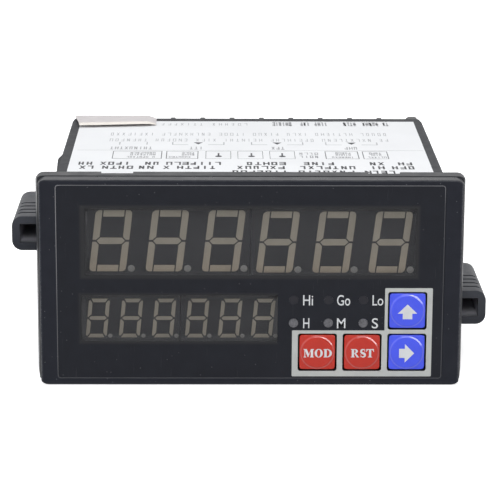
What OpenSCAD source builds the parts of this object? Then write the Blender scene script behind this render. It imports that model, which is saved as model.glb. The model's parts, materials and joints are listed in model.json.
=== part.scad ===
// Panel counter, 96 x 48 mm front: two rows of LED digits, four keys, six
// indicator lamps, a deep case with rear screw terminals and two side clips.
// X runs right as seen from the front, Y into the panel and Z up.
// The origin is the centre of the panel plane, on the rear face of the flange.

/* [Front frame] */
// Width of the bezel against the panel
bezel_w = 97.5; // [95:0.5:104]
// Height of the bezel
bezel_h = 48; // [47.5:0.5:56]
// How far each side of the bezel draws in from the panel to the front edge
bezel_draft = 1.2; // [0.5:0.1:1.4]
// Corner radius of the front frame
bezel_corner = 2.2; // [1.8:0.1:3]
// Rounding of the front edge of the bezel
bezel_edge = 0.35; // [0.2:0.05:0.8]
// How far the front frame lies under the flange at top and bottom
frame_inset = 0.1; // [0.05:0.05:0.3]
// Depth of the front frame
frame_d = 3.7; // [3.2:0.1:6]
// Width of the groove between the front frame and the case flange
groove_w = 0.4; // [0.2:0.1:0.8]
// Depth of that groove
groove_depth = 0.5; // [0.2:0.1:1]
// Thickness of the wall behind the overlay
front_wall = 1; // [0.8:0.1:1.4]
// Wall of the lip that locates the frame in the flange
lip_wall = 1; // [0.6:0.1:1.4]
// Length of that lip
lip_d = 1.8; // [1:0.1:2.4]
// Step from the case cavity out to the inside of that lip
lip_step = 0.9; // [0.7:0.05:1]

/* [Front layout] */
// Case opening, wide and high, that the front's sizes hold for; they follow the real one
std_opening = [85.2, 40.6]; // [30:0.1:100]

/* [Overlay and windows] */
// Width of the printed front film
overlay_w = 87.2; // [86:0.1:88.5]
// Height of the film
overlay_h = 44.9; // [44:0.1:45.4]
// Film centre above the bezel centre
overlay_rise = 0.2; // [0:0.05:0.3]
// Corner radius of the film
overlay_corner = 1; // [0.4:0.1:2]
// Thickness of the film
film_t = 0.3; // [0.15:0.05:0.4]
// Width of the large window
main_window_w = 76.4; // [74:0.1:78]
// Height of the large window
main_window_h = 16.5; // [15.5:0.1:17]
// Height of the large window's centre above the bezel centre
main_window_z = 9.6; // [9.4:0.1:9.9]
// Width of the small window
preset_window_w = 44.9; // [43:0.1:45.4]
// Height of the small window
preset_window_h = 11.4; // [10.6:0.1:11.8]
// Small window's centre left of the bezel centre
preset_window_x = -16.1; // [-16.6:0.1:-15.6]
// Small window's centre above the bezel centre
preset_window_z = -8.2; // [-8.6:0.1:-8]
// Width of the pane's rim that the film holds down
pane_rim = 0.9; // [0.5:0.1:1]
// Thickness of that rim
pane_rim_t = 0.6; // [0.4:0.05:0.7]

/* [Large digits] */
// Height of a large digit
main_digit_h = 14.2; // [13:0.1:14.6]
// Width of a large digit
main_digit_w = 8.25; // [7.6:0.05:8.6]
// Stroke of a large digit
main_stroke = 1.5; // [1.2:0.05:1.8]
// Radius of a large digit's outer corners
main_corner = 0.95; // [0.6:0.05:1.1]
// How far a large middle bar reaches in between the uprights' ends
main_bar_reach = 0.08; // [0:0.02:0.2]
// Slant of the large digits in degrees
main_slant = 6.8; // [0:0.1:9]
// Distance from one large digit to the next
main_pitch = 12.7; // [12.6:0.05:13]
// Diameter of a large decimal point
main_point_d = 1.6; // [1.2:0.1:1.8]
// Large decimal point right of the digit's centre
main_point_x = 4.55; // [4.4:0.05:4.9]
// Height of a large three-digit display
main_display_h = 19; // [18:0.1:19.4]
// How much narrower a large display is than its three digit cells
display_trim = 0.5; // [0.2:0.1:1]
// How much lower the right-hand display sits
main_right_drop = 0.26; // [0:0.02:0.4]

/* [Small digits] */
// Height of a small digit
preset_digit_h = 9.14; // [8.4:0.02:9.6]
// Width of a small digit
preset_digit_w = 4.75; // [4.4:0.05:5]
// Stroke of a small digit
preset_stroke = 0.86; // [0.7:0.02:1]
// How far a small middle bar reaches in between the uprights' ends
preset_bar_reach = 0.35; // [0.2:0.05:0.4]
// Slant of the small digits in degrees
preset_slant = 5.6; // [0:0.1:9]
// Distance from one small digit to the next
preset_pitch = 7.5; // [7.4:0.05:7.7]
// Diameter of a small decimal point
preset_point_d = 1; // [0.8:0.05:1.1]
// Small decimal point right of the digit's centre
preset_point_x = 2.78; // [2.7:0.02:3]
// Height of a small three-digit display
preset_display_h = 14; // [12.6:0.1:14.4]
// How far the small displays sit right of their window's middle
preset_shift = 0.25; // [0:0.05:0.4]
// How far the small digits sit below their window's middle
preset_drop = 0.27; // [0:0.01:0.5]

/* [Displays] */
// Depth of the displays from their face to the board
display_d = 8; // [7:0.1:9]
// Depth of the lit segments in the display faces
segment_d = 0.5; // [0.3:0.1:1]
// How far a decimal point hangs below its digit
point_drop = 0.1; // [0:0.05:0.2]
// Gap between neighbouring segments
segment_gap = 0.28; // [0.15:0.01:0.4]
// Gap between an upper and a lower upright
upright_gap = 0.45; // [0.3:0.05:0.6]

/* [Keys] */
// Side of the square key hole
key_hole = 8.87; // [8.4:0.01:9]
// Gap around a key in its hole
key_gap = 0.38; // [0.2:0.01:0.5]
// Corner radius of the key hole
key_corner = 0.6; // [0.3:0.1:1.2]
// Distance between keys in the bottom row
key_pitch = 10.16; // [9.8:0.02:10.4]
// Rise of the upper key over the bottom row
key_rise = 9.8; // [9.6:0.02:10.2]
// Centre of the mode key, right of the bezel centre
key_x = 15.2; // [14.8:0.05:15.4]
// Height of the bottom row's centre
key_z = -16.12; // [-16.3:0.02:-15.9]
// Height of the round raised pad on a key
key_pad_h = 0.45; // [0.2:0.05:0.8]
// Width of the sloping edge of that pad
key_pad_slope = 0.55; // [0.2:0.05:0.9]
// Width of the flange that keeps a key in its hole
key_flange = 0.3; // [0.2:0.01:0.32]
// Thickness of that flange
key_flange_t = 0.8; // [0.5:0.1:1]
// Diameter of the stem behind a key
key_stem_d = 4; // [3:0.1:5]
// Travel of a key
key_travel = 0.5; // [0.2:0.05:0.6]

/* [Push switches] */
// Side of the square switch body
switch_w = 6; // [5:0.1:6.2]
// Height of the switch body over its board
switch_h = 3.5; // [3:0.1:4]
// Diameter of the switch plunger
plunger_d = 3.4; // [2.5:0.1:4]
// How far the plunger stands out of the body
plunger_out = 0.9; // [0.7:0.05:1.5]
// How far the plunger reaches into the body
plunger_in = 1; // [0.6:0.1:1.2]

/* [Indicator lamps] */
// Diameter of a lamp's lens
lamp_d = 2; // [1.6:0.05:2.4]
// Distance between the lamp columns
lamp_pitch = 7.9; // [7.2:0.05:8.1]
// Centre of the first lamp column
lamp_x = 9.73; // [9.4:0.01:10]
// Height of the upper lamps
lamp_upper_z = -3.83; // [-4.4:0.01:-3.6]
// Height of the lower lamps
lamp_lower_z = -9.22; // [-9.6:0.01:-8.6]
// Length of a lamp's body
lamp_body = 3.8; // [3:0.1:5]
// Diameter of a lamp's collar
lamp_collar_d = 2.6; // [2.4:0.1:3]
// Thickness of that collar
lamp_collar_t = 0.6; // [0.4:0.1:1]
// Rounding of a lamp's tip
lamp_round = 0.4; // [0.2:0.05:0.6]
// Diameter of a lamp's lead
lamp_lead_d = 0.5; // [0.4:0.05:0.7]

/* [Case] */
// Depth of the case flange
flange_d = 4.1; // [3.2:0.1:6]
// Corner radius of the flange
flange_corner = 2; // [1:0.1:3]
// Width of the case behind the panel
case_w = 89.2; // [88:0.1:90.4]
// Height of the case behind the panel
case_h = 44.6; // [44:0.1:45]
// Length of the case behind the panel
case_d = 67.4; // [60:0.2:90]
// How far each side draws in towards the rear
case_draft = 0.3; // [0:0.05:0.5]
// Rounding of the long case edges
case_edge = 1; // [0.4:0.1:1.6]
// Wall of the case
case_wall = 2; // [1.6:0.1:2.2]
// Width of the four latch notches in the flange's rear edge
notch_w = 7.2; // [5:0.1:9]
// Distance of a notch from the centre
notch_x = 30.2; // [26:0.1:34]
// Depth of a notch below the flange edge
notch_h = 0.35; // [0.2:0.05:0.6]
// Length of a notch along the case
notch_d = 1.6; // [0.8:0.1:2.4]
// Length of the raised wedge beside the top left and bottom right edges, to the start of its ramp
wedge_d = 18.3; // [10:0.1:20]
// Length of the ramp at the wedge's rear end
wedge_ramp = 4.7; // [2:0.1:8]
// Length of the wedge's level part before that ramp
wedge_flat = 2; // [1:0.1:4]
// Start of that wedge behind the panel
wedge_y = 8; // [4:0.1:12]
// Height of the wedge at its rear end
wedge_h = 0.7; // [0.3:0.05:0.8]
// Width of the wedge down the side
wedge_z = 6.5; // [4:0.1:8]

/* [Side clips] */
// Length of a clip
clip_d = 25.3; // [20:0.1:32]
// Height of a clip
clip_h = 8; // [7.2:0.1:9]
// Height of the clip centres above and below the middle
clip_z = 8.75; // [8:0.05:10]
// Reach of a clip from the case's centre
clip_reach = 54.6; // [52:0.1:58]
// Clip front behind the panel plane
clip_y = 3.3; // [2.4:0.1:8]
// Rounding of the clip's outer corners
clip_corner = 2.3; // [1:0.1:3]
// Wall of a clip
clip_wall = 1.8; // [1.2:0.1:2]
// Depth of the hollow in a clip
clip_hollow_d = 18; // [10:0.5:19]
// Number of grip grooves on a clip
clip_grooves = 4; // [1:1:4]
// Distance between grip grooves
clip_groove_pitch = 3.25; // [2.5:0.05:3.6]
// First groove behind the clip's front
clip_groove_y = 3.8; // [2:0.1:5]
// Width of a groove
clip_groove_w = 0.9; // [0.5:0.1:1.4]
// Depth of a groove
clip_groove_depth = 0.4; // [0.2:0.05:0.7]

/* [Clip rails] */
// Height of a rail over the case side
rail_h = 1.1; // [0.8:0.05:1.3]
// Width of a rail at its neck
rail_neck = 4.2; // [3.4:0.1:4.6]
// Width of a rail at its top
rail_top = 5.4; // [4.6:0.1:5.6]
// Distance between ratchet teeth on a rail
tooth_pitch = 1.5; // [1:0.1:2.5]
// Depth of the ratchet teeth
tooth_depth = 0.35; // [0.2:0.05:0.5]
// Gap between a clip and its rail
rail_gap = 0.12; // [0.08:0.01:0.2]

/* [Rear terminals] */
// Number of terminals in a row
terminals = 11; // [8:1:11]
// Distance between terminals
terminal_pitch = 7.62; // [7:0.02:7.64]
// Thickness of the ribs between terminals
terminal_rib = 1.2; // [0.8:0.1:1.6]
// Height of a terminal block
terminal_h = 11; // [10:0.1:11.6]
// Length of the ribs behind the terminal floor
terminal_rib_d = 8; // [7:0.1:10]
// How far the two end cheeks of a terminal block stand above its ribs
cheek_rise = 0.3; // [0.1:0.1:0.8]
// Corner radius of a cheek
cheek_corner = 0.9; // [0.3:0.1:1.2]
// Thickness of the block floor behind the rear cover
terminal_floor = 2; // [1.6:0.1:4]
// How much a row's middle lies above the middle of its plug
terminal_rise = 0.7; // [0:0.1:1]
// Thickness of the outer wall under a row
terminal_wall = 1.2; // [0.8:0.1:1.6]
// Length of the block's plug through the rear cover
terminal_plug_d = 9; // [7:0.1:12]
// How much narrower the plug is than the block, each side
terminal_shoulder = 2.5; // [1.8:0.1:4]
// Side of the square clamp plates
clamp_w = 6; // [5:0.1:6.1]
// Thickness of the clamp plates
clamp_t = 0.8; // [0.6:0.1:1.2]
// Diameter of the terminal screws
screw_d = 3; // [2.5:0.1:3.5]
// Diameter of the screw heads
screw_head_d = 5.6; // [5:0.1:5.8]
// Height of the screw heads
screw_head_h = 2; // [1.4:0.1:2.4]
// Length of the crossed slots in the heads
screw_slot = 4; // [3:0.1:4.6]
// Width of those slots
screw_slot_w = 0.8; // [0.6:0.05:1]
// Length of a screw under its head
screw_len = 7; // [5:0.1:9]

/* [Rear cover] */
// Thickness of the rear cover
cover_t = 2.6; // [2:0.1:4]
// Depth of the collar that plugs into the case
collar_d = 2.5; // [1.5:0.1:4]
// Wall of that collar
collar_wall = 1.2; // [0.8:0.1:1.4]
// Number of vent slots in the cover
vents = 9; // [3:2:13]
// Width of a vent slot
vent_w = 1.4; // [0.8:0.1:2]
// Height of a vent slot
vent_h = 10; // [6:0.5:12]
// Distance between vent slots
vent_pitch = 5; // [3:0.1:5.5]

/* [Boards] */
// Thickness of the circuit boards
board_t = 1.6; // [1:0.1:1.8]
// Distance of each long board's inner face from the middle
board_z = 8.6; // [8.2:0.1:8.8]
// Depth of the slots that hold the long boards
guide_h = 1; // [0.7:0.1:1.4]
// Thickness of the ribs beside those slots
guide_t = 1.2; // [0.8:0.1:1.6]
// Diameter of the posts that carry the display board
post_d = 3.6; // [3.2:0.1:3.8]
// Diameter of the screws in the posts
post_screw_d = 2; // [1.6:0.1:2.2]
// Length of the screws in the posts
post_screw_len = 5; // [4:0.1:6]
// Height of the heads of those screws
post_head_h = 1.2; // [0.8:0.1:1.6]
// Left and right posts from the middle
post_x = 40.2; // [40:0.05:40.4]
// Posts above and below the middle
post_z = 17.3; // [16.6:0.1:17.6]

/* [Inner pieces] */
// Transformer's place, right of the middle and behind the panel
transformer_at = [-24, 36]; // [-40:0.5:50]
// First relay's place, right of the middle and behind the panel
relay_at = [12, 50]; // [0:0.5:54]
// Distance between the relays
relay_pitch = 14; // [12:0.5:15]
// First filter capacitor's place
capacitor_at = [4, 20]; // [0:0.5:40]
// Distance between the filter capacitors
capacitor_pitch = 12; // [11.5:0.5:14]
// Controller chip's place
chip_at = [28, 26]; // [-30:0.5:54]
// Width of the transformer core
core_w = 16; // [14:0.5:18]
// Height of the transformer core
core_h = 13; // [11:0.5:14]
// Thickness of the transformer core
core_t = 5; // [4:0.5:6]
// Distance of the core from its board
core_lift = 1.4; // [1:0.1:3]
// Thickness of the winding beside the core
coil_build = 3.2; // [2:0.1:3.4]
// Thickness of the winding inside the core's windows
coil_fill = 2.7; // [2:0.1:2.8]
// Diameter of the transformer's pins
coil_pin_d = 1; // [0.6:0.1:1.2]
// Length of a relay
relay_w = 20.5; // [16:0.5:22]
// Thickness of a relay
relay_t = 10; // [8:0.5:12]
// Height of a relay
relay_h = 12.5; // [10:0.5:15]
// Width of the bevels along a relay's lower edges
relay_bevel = 0.7; // [0.3:0.1:1]
// Diameter of a filter capacitor
capacitor_d = 10; // [6:0.5:11]
// Height of a filter capacitor
capacitor_h = 12.5; // [8:0.5:15]
// Depth of the crimp and the bevel on a capacitor
capacitor_crimp = 0.45; // [0.2:0.05:0.8]
// Side of the controller chip
chip_w = 14; // [8:0.5:16]
// Thickness of the controller chip
chip_t = 1.5; // [1:0.1:2]
// Leads along each side of the chip
chip_leads = 9; // [3:2:11]
// Length of a chip lead
chip_lead = 0.9; // [0.5:0.1:1.5]
// Width of a chip lead
chip_lead_w = 0.4; // [0.2:0.1:0.6]
// Width of the board links
link_w = 40; // [20:1:50]
// Height of the board links
link_h = 2.5; // [2:0.1:4]
// Length of the board links
link_d = 8.5; // [6:0.1:10]

/* [Label and seal] */
// Width of the wiring label on top
label_w = 84.2; // [70:0.1:86]
// Thickness of the label
label_t = 0.1; // [0.05:0.05:0.3]
// Front edge of the label behind the panel
label_y = 3; // [2.5:0.1:10]
// Rear margin of the label
label_margin = 1.5; // [0.1:0.1:4]
// Width of the paper seal over the rear edge
seal_w = 20; // [12:0.5:26]
// Left edge of the seal, inwards from the case side
seal_x = 1.2; // [0.6:0.1:10]
// Length of the seal on the case top
seal_d = 7; // [4:0.1:12]
// Overhang of the seal past the rear cover
seal_over = 2.6; // [1:0.1:5]
// Thickness of the seal
seal_t = 0.35; // [0.2:0.05:0.5]
// How far the seal's front edge curls up
seal_curl = 0.8; // [0.4:0.05:1.2]
// Length of the curl
seal_curl_d = 2.4; // [1.5:0.1:4]

/* [Clearances] */
// Gap around pieces that drop into a recess
seat_gap = 0.1; // [0.05:0.01:0.15]
// Gap around shafts and plungers
shaft_gap = 0.05; // [0.02:0.01:0.1]
// Gap between sliding or facing flats
face_gap = 0.05; // [0.02:0.01:0.1]
// Gap between the boards and the case walls
board_gap = 0.3; // [0.2:0.05:0.5]
// Gap before and behind the long boards
end_gap = 0.5; // [0.3:0.1:1]

/* [Hidden] */
$fn = 48;
eps = 0.01;

// Depths of the front stack, from the panel plane at y = 0
y_flange = -flange_d;
y_frame = y_flange - groove_w;
y_front = y_frame - frame_d;
y_film = y_front + film_t;
y_wall = y_film + front_wall;
y_display = y_wall + face_gap;
y_board = y_display + display_d;
y_board_rear = y_board + board_t;
y_stop = y_board_rear + face_gap;

// Front frame where it meets the groove
frame_w = bezel_w - 2 * bezel_draft * y_frame / y_front;
frame_h = bezel_h - 2 * frame_inset;

// Case cavity and the pocket in the front frame
cavity_w = case_w - 2 * case_wall;
cavity_h = case_h - 2 * case_wall;
lip_w = cavity_w + 2 * lip_wall + 2 * lip_step;
lip_h = cavity_h + 2 * lip_wall + 2 * lip_step;
pocket_w = lip_w - 2 * lip_wall;
pocket_h = lip_h - 2 * lip_wall;
corner_small = 0.4;

// Growth of the front and the terminal rows with the case opening
grow_x = cavity_w / std_opening[0];
grow_z = cavity_h / std_opening[1];
grow = min(grow_x, grow_z);
function place(p) = [p[0] * grow_x, p[1] * grow_z];

// Rear end
y_cover = case_d + cover_t;
rear_w = case_w - 2 * case_draft;
y_floor = y_cover + terminal_floor;
y_rib = y_floor + terminal_rib_d;
cell_pitch = terminal_pitch * grow_x;
block_w = terminals * cell_pitch + terminal_rib;
plug_w = block_w - 2 * terminal_shoulder;
board_outer = board_z + board_t;
plug_h = cavity_h / 2 - board_gap - collar_wall - 2 * seat_gap - board_outer;
block_z = board_outer + plug_h / 2 + terminal_rise - terminal_h / 2;

// Long boards
board_w = cavity_w - 2 * board_gap;
y_long = y_board_rear + post_head_h;
y_long_end = case_d - collar_d - end_gap;

// Keys: centre of each one on the front
hole_side = key_hole * grow;
key_side = hole_side - 2 * key_gap;
key_back = hole_side + 2 * key_flange;
key_at = [
    place([key_x + 2 * key_pitch, key_z + key_rise]),
    place([key_x + 2 * key_pitch, key_z]),
    place([key_x, key_z]),
    place([key_x + key_pitch, key_z])
];
y_key_flange = y_wall + face_gap;
y_key_back = y_key_flange + key_flange_t;
y_switch = y_board - switch_h;
y_plunger = y_switch - plunger_out;

// Lamps: three columns in two rows
lamp_at = [
    for (z = [lamp_upper_z, lamp_lower_z], i = [0:2]) place([lamp_x + i * lamp_pitch, z])
];
lamp_tip = 0.1;

// Windows: size and centre of each one
main_pane = place([main_window_w, main_window_h]);
main_pane_at = place([0, main_window_z]);
preset_pane = place([preset_window_w, preset_window_h]);
preset_pane_at = place([preset_window_x, preset_window_z]);

// Displays: size of each kind and centre of each one
main_size = place([3 * main_pitch - display_trim, main_display_h]);
preset_size = place([3 * preset_pitch, preset_display_h]);
main_left = main_pane_at - [main_size[0] / 2, 0];
main_right = main_pane_at + [main_size[0] / 2, -main_right_drop];
preset_left = preset_pane_at + place([preset_shift, 0]) - [preset_size[0] / 2, 0];
preset_right = preset_left + [preset_size[0], 0];

// Posts: three corners, and beside the mode key
post_at = [
    place([-post_x, post_z]), place([post_x, post_z]), place([-post_x, -post_z]),
    place([key_x - key_pitch, -post_z])
];

// Points of an arc about c, from angle a to angle b
function arc(c, r, a, b, n = 6) = [
    for (i = [0:n]) c + r * [cos(a + (b - a) * i / n), sin(a + (b - a) * i / n)]
];

// Leans a point sideways by its height, as slanted digits do
function lean(p, slant) = [p[0] + p[1] * tan(slant), p[1]];

// Solid of a front-view outline between two depths
module along_y(y0, y1) {
    translate([0, y1, 0]) rotate([90, 0, 0]) linear_extrude(y1 - y0) children();
}

module rounded_rect(w, h, r) {
    square([w - 2 * r, h], center = true);
    square([w, h - 2 * r], center = true);
    for (x = [-1, 1], z = [-1, 1])
        translate([x * (w / 2 - r), z * (h / 2 - r)]) circle(r);
}

// Section of the bezel moulding: r wide, d deep, with a round front edge
module bezel_section(r, e, d) {
    polygon(concat([[0, 0]], arc([r - e, e], e, -90, 0), [[r, d], [0, d]]));
}

// Block with round corners and a round front edge, from mouldings and turned corners
module filleted_block(w, h, r, e, y0, d) {
    long_x = w / 2 - r;
    long_z = h / 2 - r;
    translate([0, y0, 0]) {
        translate([-long_x, 0, -long_z]) cube([2 * long_x, d, 2 * long_z]);
        for (m = [0, 1]) {
            mirror([m, 0, 0]) translate([long_x, 0, -long_z])
                linear_extrude(2 * long_z) bezel_section(r, e, d);
            mirror([0, 0, m]) translate([long_x, 0, long_z]) rotate([0, -90, 0])
                linear_extrude(2 * long_x) bezel_section(r, e, d);
            for (k = [0, 1])
                mirror([m, 0, 0]) mirror([0, 0, k]) translate([long_x, 0, -long_z])
                    rotate([-90, 0, 0]) rotate_extrude(angle = 90) bezel_section(r, e, d);
        }
    }
}

// Plan of the bezel: sides that spread towards the panel, with round front edges
module bezel_plan() {
    front = bezel_w / 2 - bezel_draft;
    e = bezel_edge;
    translate([0, 0, -bezel_h]) linear_extrude(2 * bezel_h) polygon(concat(
        arc([e - front, y_front + e], e, 180, 270), arc([front - e, y_front + e], e, 270, 360),
        [[bezel_w / 2, 0], [bezel_w / 2, 1], [-bezel_w / 2, 1], [-bezel_w / 2, 0]]));
}

module at_front(p) {
    translate([p[0], 0, p[1]]) children();
}

module bore_y(d, y0, y1) {
    translate([0, y0, 0]) rotate([-90, 0, 0]) cylinder(d = d, h = y1 - y0);
}

// Front frame: bezel, wall behind the film, locating lip and board posts
module front_frame() {
    color("#2c2d31") difference() {
        union() {
            intersection() {
                filleted_block(frame_w, frame_h, bezel_corner, bezel_edge, y_front, frame_d);
                bezel_plan();
            }
            along_y(y_frame, y_flange) rounded_rect(
                frame_w - 2 * groove_depth, frame_h - 2 * groove_depth,
                bezel_corner - groove_depth);
            along_y(y_flange, y_flange + lip_d) rounded_rect(lip_w, lip_h, corner_small);
        }
        difference() {
            along_y(y_wall, y_flange + lip_d + eps) rounded_rect(pocket_w, pocket_h, corner_small);
            for (p = post_at) at_front(p) bore_y(post_d, y_wall - 1, y_board);
        }
        along_y(y_front - 1, y_film)
            translate([0, overlay_rise]) rounded_rect(
                overlay_w + 2 * seat_gap, overlay_h + 2 * seat_gap, overlay_corner + seat_gap);
        pane_seat(main_pane, main_pane_at);
        pane_seat(preset_pane, preset_pane_at);
        for (p = key_at) along_y(y_film - 1, y_wall + 1) translate(p)
            rounded_rect(hole_side, hole_side, key_corner);
        for (p = lamp_at) at_front(p) bore_y(lamp_d + 2 * shaft_gap, y_film - 1, y_wall + 1);
    }
    color("#2c2d31") for (p = post_at) at_front(p) difference() {
        bore_y(post_d, y_wall, y_board);
        bore_y(post_screw_d, y_board_rear - post_screw_len - end_gap, y_board + 1);
    }
}

// Stepped opening that takes a window pane from the front
module pane_seat(size, p) {
    seat = size + 2 * (pane_rim + seat_gap) * [1, 1];
    along_y(y_film - 1, y_film + pane_rim_t) translate(p) rounded_rect(seat[0], seat[1], corner_small);
    along_y(y_film, y_wall + 1) translate(p) rounded_rect(size[0], size[1], corner_small);
}

// Printed film with openings for panes, keys and lamps
module front_overlay() {
    color("#26272b") along_y(y_front, y_film) difference() {
        translate([0, overlay_rise]) rounded_rect(overlay_w, overlay_h, overlay_corner);
        translate(main_pane_at) rounded_rect(
            main_pane[0] + 2 * face_gap, main_pane[1] + 2 * face_gap, corner_small);
        translate(preset_pane_at) rounded_rect(
            preset_pane[0] + 2 * face_gap, preset_pane[1] + 2 * face_gap, corner_small);
        for (p = key_at) translate(p) rounded_rect(hole_side, hole_side, key_corner);
        for (p = lamp_at) translate(p) circle(d = lamp_d + 2 * shaft_gap);
    }
}

// Smoked pane: a flush face in the film's opening and a rim under the film
module pane(size, p) {
    color([0.2, 0.2, 0.21, 0.6]) {
        along_y(y_front, y_film) translate(p) rounded_rect(size[0], size[1], corner_small);
        along_y(y_film, y_film + pane_rim_t) translate(p)
            rounded_rect(size[0] + 2 * pane_rim, size[1] + 2 * pane_rim, corner_small);
    }
}

module main_window() { pane(main_pane, main_pane_at); }
module preset_window() { pane(preset_pane, preset_pane_at); }

// Key cap: square foot, round raised pad, retaining flange and stem
module key_cap(p, shade) {
    color(shade) at_front(p) {
        along_y(y_front, y_key_flange) rounded_rect(key_side, key_side, key_corner - key_gap / 2);
        along_y(y_key_flange, y_key_back) rounded_rect(key_back, key_back, corner_small);
        translate([0, y_front, 0]) rotate([90, 0, 0])
            cylinder(d1 = key_side, d2 = key_side - 2 * key_pad_slope, h = key_pad_h);
        bore_y(key_stem_d, y_key_back, y_plunger);
    }
}

// Plunger of a push switch, moved by the key's stem
module plunger(p) {
    color("#3a3a3c") at_front(p) bore_y(plunger_d, y_plunger, y_switch + plunger_in);
}

// Push switch on the display board
module push_switch(p) {
    color("#1d1d1f") at_front(p) difference() {
        along_y(y_switch, y_board) rounded_rect(switch_w, switch_w, corner_small);
        bore_y(plunger_d + 2 * shaft_gap, y_switch - 1,
               y_switch + plunger_in + key_travel + seat_gap);
    }
}

module key_up() { key_cap(key_at[0], "#505af0"); }
module key_right() { key_cap(key_at[1], "#505af0"); }
module key_mode() { key_cap(key_at[2], "#c33730"); }
module key_reset() { key_cap(key_at[3], "#c33730"); }
module plunger_up() { plunger(key_at[0]); }
module plunger_right() { plunger(key_at[1]); }
module plunger_mode() { plunger(key_at[2]); }
module plunger_reset() { plunger(key_at[3]); }
module switch_up() { push_switch(key_at[0]); }
module switch_right() { push_switch(key_at[1]); }
module switch_mode() { push_switch(key_at[2]); }
module switch_reset() { push_switch(key_at[3]); }

// Tip of a middle bar whose ends are cut to a point at 45 degrees
function bar_tip(w, t, g, reach) = w / 2 - t / 2 - g + reach;

// End of an upright beside the middle bar: cut along the bar's end, then flat
function upright_end(w, t, g, reach) =
    let (cut = bar_tip(w, t, g, reach) + g * sqrt(2), flat = upright_gap / 2)
    [[w / 2 - t, cut - w / 2 + t], [cut - flat, flat], [w / 2, flat]];

// Upright stroke of a large digit: full height, with a round outer corner
function main_upright(w, h, t, g, reach, r) = concat(
    upright_end(w, t, g, reach),
    arc([w / 2 - r, h / 2 - r], r, 0, 90, 6),
    [[w / 2 - t, h / 2]]);

// Top bar of a large digit, between the uprights
function main_bar(w, h, t, g) = [
    [-w / 2 + t + g, h / 2 - t], [w / 2 - t - g, h / 2 - t],
    [w / 2 - t - g, h / 2], [-w / 2 + t + g, h / 2]
];

// Middle bar with pointed ends
function middle_bar(w, t, g, reach) =
    let (tip = bar_tip(w, t, g, reach), side = tip - t / 2)
    [[-tip, 0], [-side, -t / 2], [side, -t / 2], [tip, 0], [side, t / 2], [-side, t / 2]];

// Upright stroke of a small digit, with its outer corner cut off
function preset_upright(w, h, t, g, reach) = concat(
    upright_end(w, t, g, reach),
    [[w / 2, h / 2 - g * 1.7], [w / 2 - g * 1.5, h / 2 - g * 1.6], [w / 2 - t, h / 2 - t - g]]);

// Top bar of a small digit, with mitred ends
function preset_bar(w, h, t, g) = [
    [-w / 2 + t + g / 2, h / 2 - t], [w / 2 - t - g / 2, h / 2 - t],
    [w / 2 - g * 1.8, h / 2], [-w / 2 + g * 1.8, h / 2]
];

function flip(points, x, z) = [for (p = points) [p[0] * x, p[1] * z]];

// One digit's seven strokes and its point, about the digit's centre
module digit(upright, bar, middle, slant, h, point_x, point_d) {
    for (x = [-1, 1], z = [-1, 1])
        polygon([for (p = flip(upright, x, z)) place(lean(p, slant))]);
    for (z = [-1, 1])
        polygon([for (p = flip(bar, 1, z)) place(lean(p, slant))]);
    polygon([for (p = middle) place(lean(p, slant))]);
    translate(place([point_x, point_d / 2 - h / 2 - point_drop])) circle(d = point_d * grow);
}

module main_digits() {
    for (i = [-1:1]) translate(place([i * main_pitch, 0])) digit(
        main_upright(main_digit_w, main_digit_h, main_stroke, segment_gap, main_bar_reach, main_corner),
        main_bar(main_digit_w, main_digit_h, main_stroke, segment_gap),
        middle_bar(main_digit_w, main_stroke, segment_gap, main_bar_reach),
        main_slant, main_digit_h, main_point_x, main_point_d);
}

module preset_digits() {
    for (i = [-1:1]) translate(place([i * preset_pitch, -preset_drop])) digit(
        preset_upright(preset_digit_w, preset_digit_h, preset_stroke, segment_gap, preset_bar_reach),
        preset_bar(preset_digit_w, preset_digit_h, preset_stroke, segment_gap),
        middle_bar(preset_digit_w, preset_stroke, segment_gap, preset_bar_reach),
        preset_slant, preset_digit_h, preset_point_x, preset_point_d);
}

// Display body with pockets for its segments
module display_body(size, p) {
    color("#3a3a3d") difference() {
        along_y(y_display, y_board) translate(p) square([size[0] - 2 * face_gap, size[1]], center = true);
        along_y(y_display - 1, y_display + segment_d) translate(p) children();
    }
}

module display_segments(p) {
    color("#827d6e") along_y(y_display, y_display + segment_d) translate(p) children();
}

module main_display_left() { display_body(main_size, main_left) main_digits(); }
module main_display_right() { display_body(main_size, main_right) main_digits(); }
module main_segments_left() { display_segments(main_left) main_digits(); }
module main_segments_right() { display_segments(main_right) main_digits(); }
module preset_display_left() { display_body(preset_size, preset_left) preset_digits(); }
module preset_display_right() { display_body(preset_size, preset_right) preset_digits(); }
module preset_segments_left() { display_segments(preset_left) preset_digits(); }
module preset_segments_right() { display_segments(preset_right) preset_digits(); }

// Indicator lamp: domed lens, collar and two leads down to the board
module lamp(p) {
    y_tip = y_front + lamp_tip;
    y_collar = y_tip + lamp_body;
    color("#77777a") at_front(p) {
        translate([0, y_tip, 0]) rotate([-90, 0, 0]) rotate_extrude() polygon(concat(
            [[0, lamp_body]], [[lamp_collar_d / 2, lamp_body]],
            [[lamp_collar_d / 2, lamp_body - lamp_collar_t]], [[lamp_d / 2, lamp_body - lamp_collar_t]],
            arc([lamp_d / 2 - lamp_round, lamp_round], lamp_round, 0, -90, 5), [[0, 0]]));
        for (x = [-1, 1]) translate([x * lamp_d / 4, 0, 0])
            bore_y(lamp_lead_d, y_collar, y_board);
    }
}

module lamp_high() { lamp(lamp_at[0]); }
module lamp_go() { lamp(lamp_at[1]); }
module lamp_low() { lamp(lamp_at[2]); }
module lamp_hours() { lamp(lamp_at[3]); }
module lamp_minutes() { lamp(lamp_at[4]); }
module lamp_seconds() { lamp(lamp_at[5]); }

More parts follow.
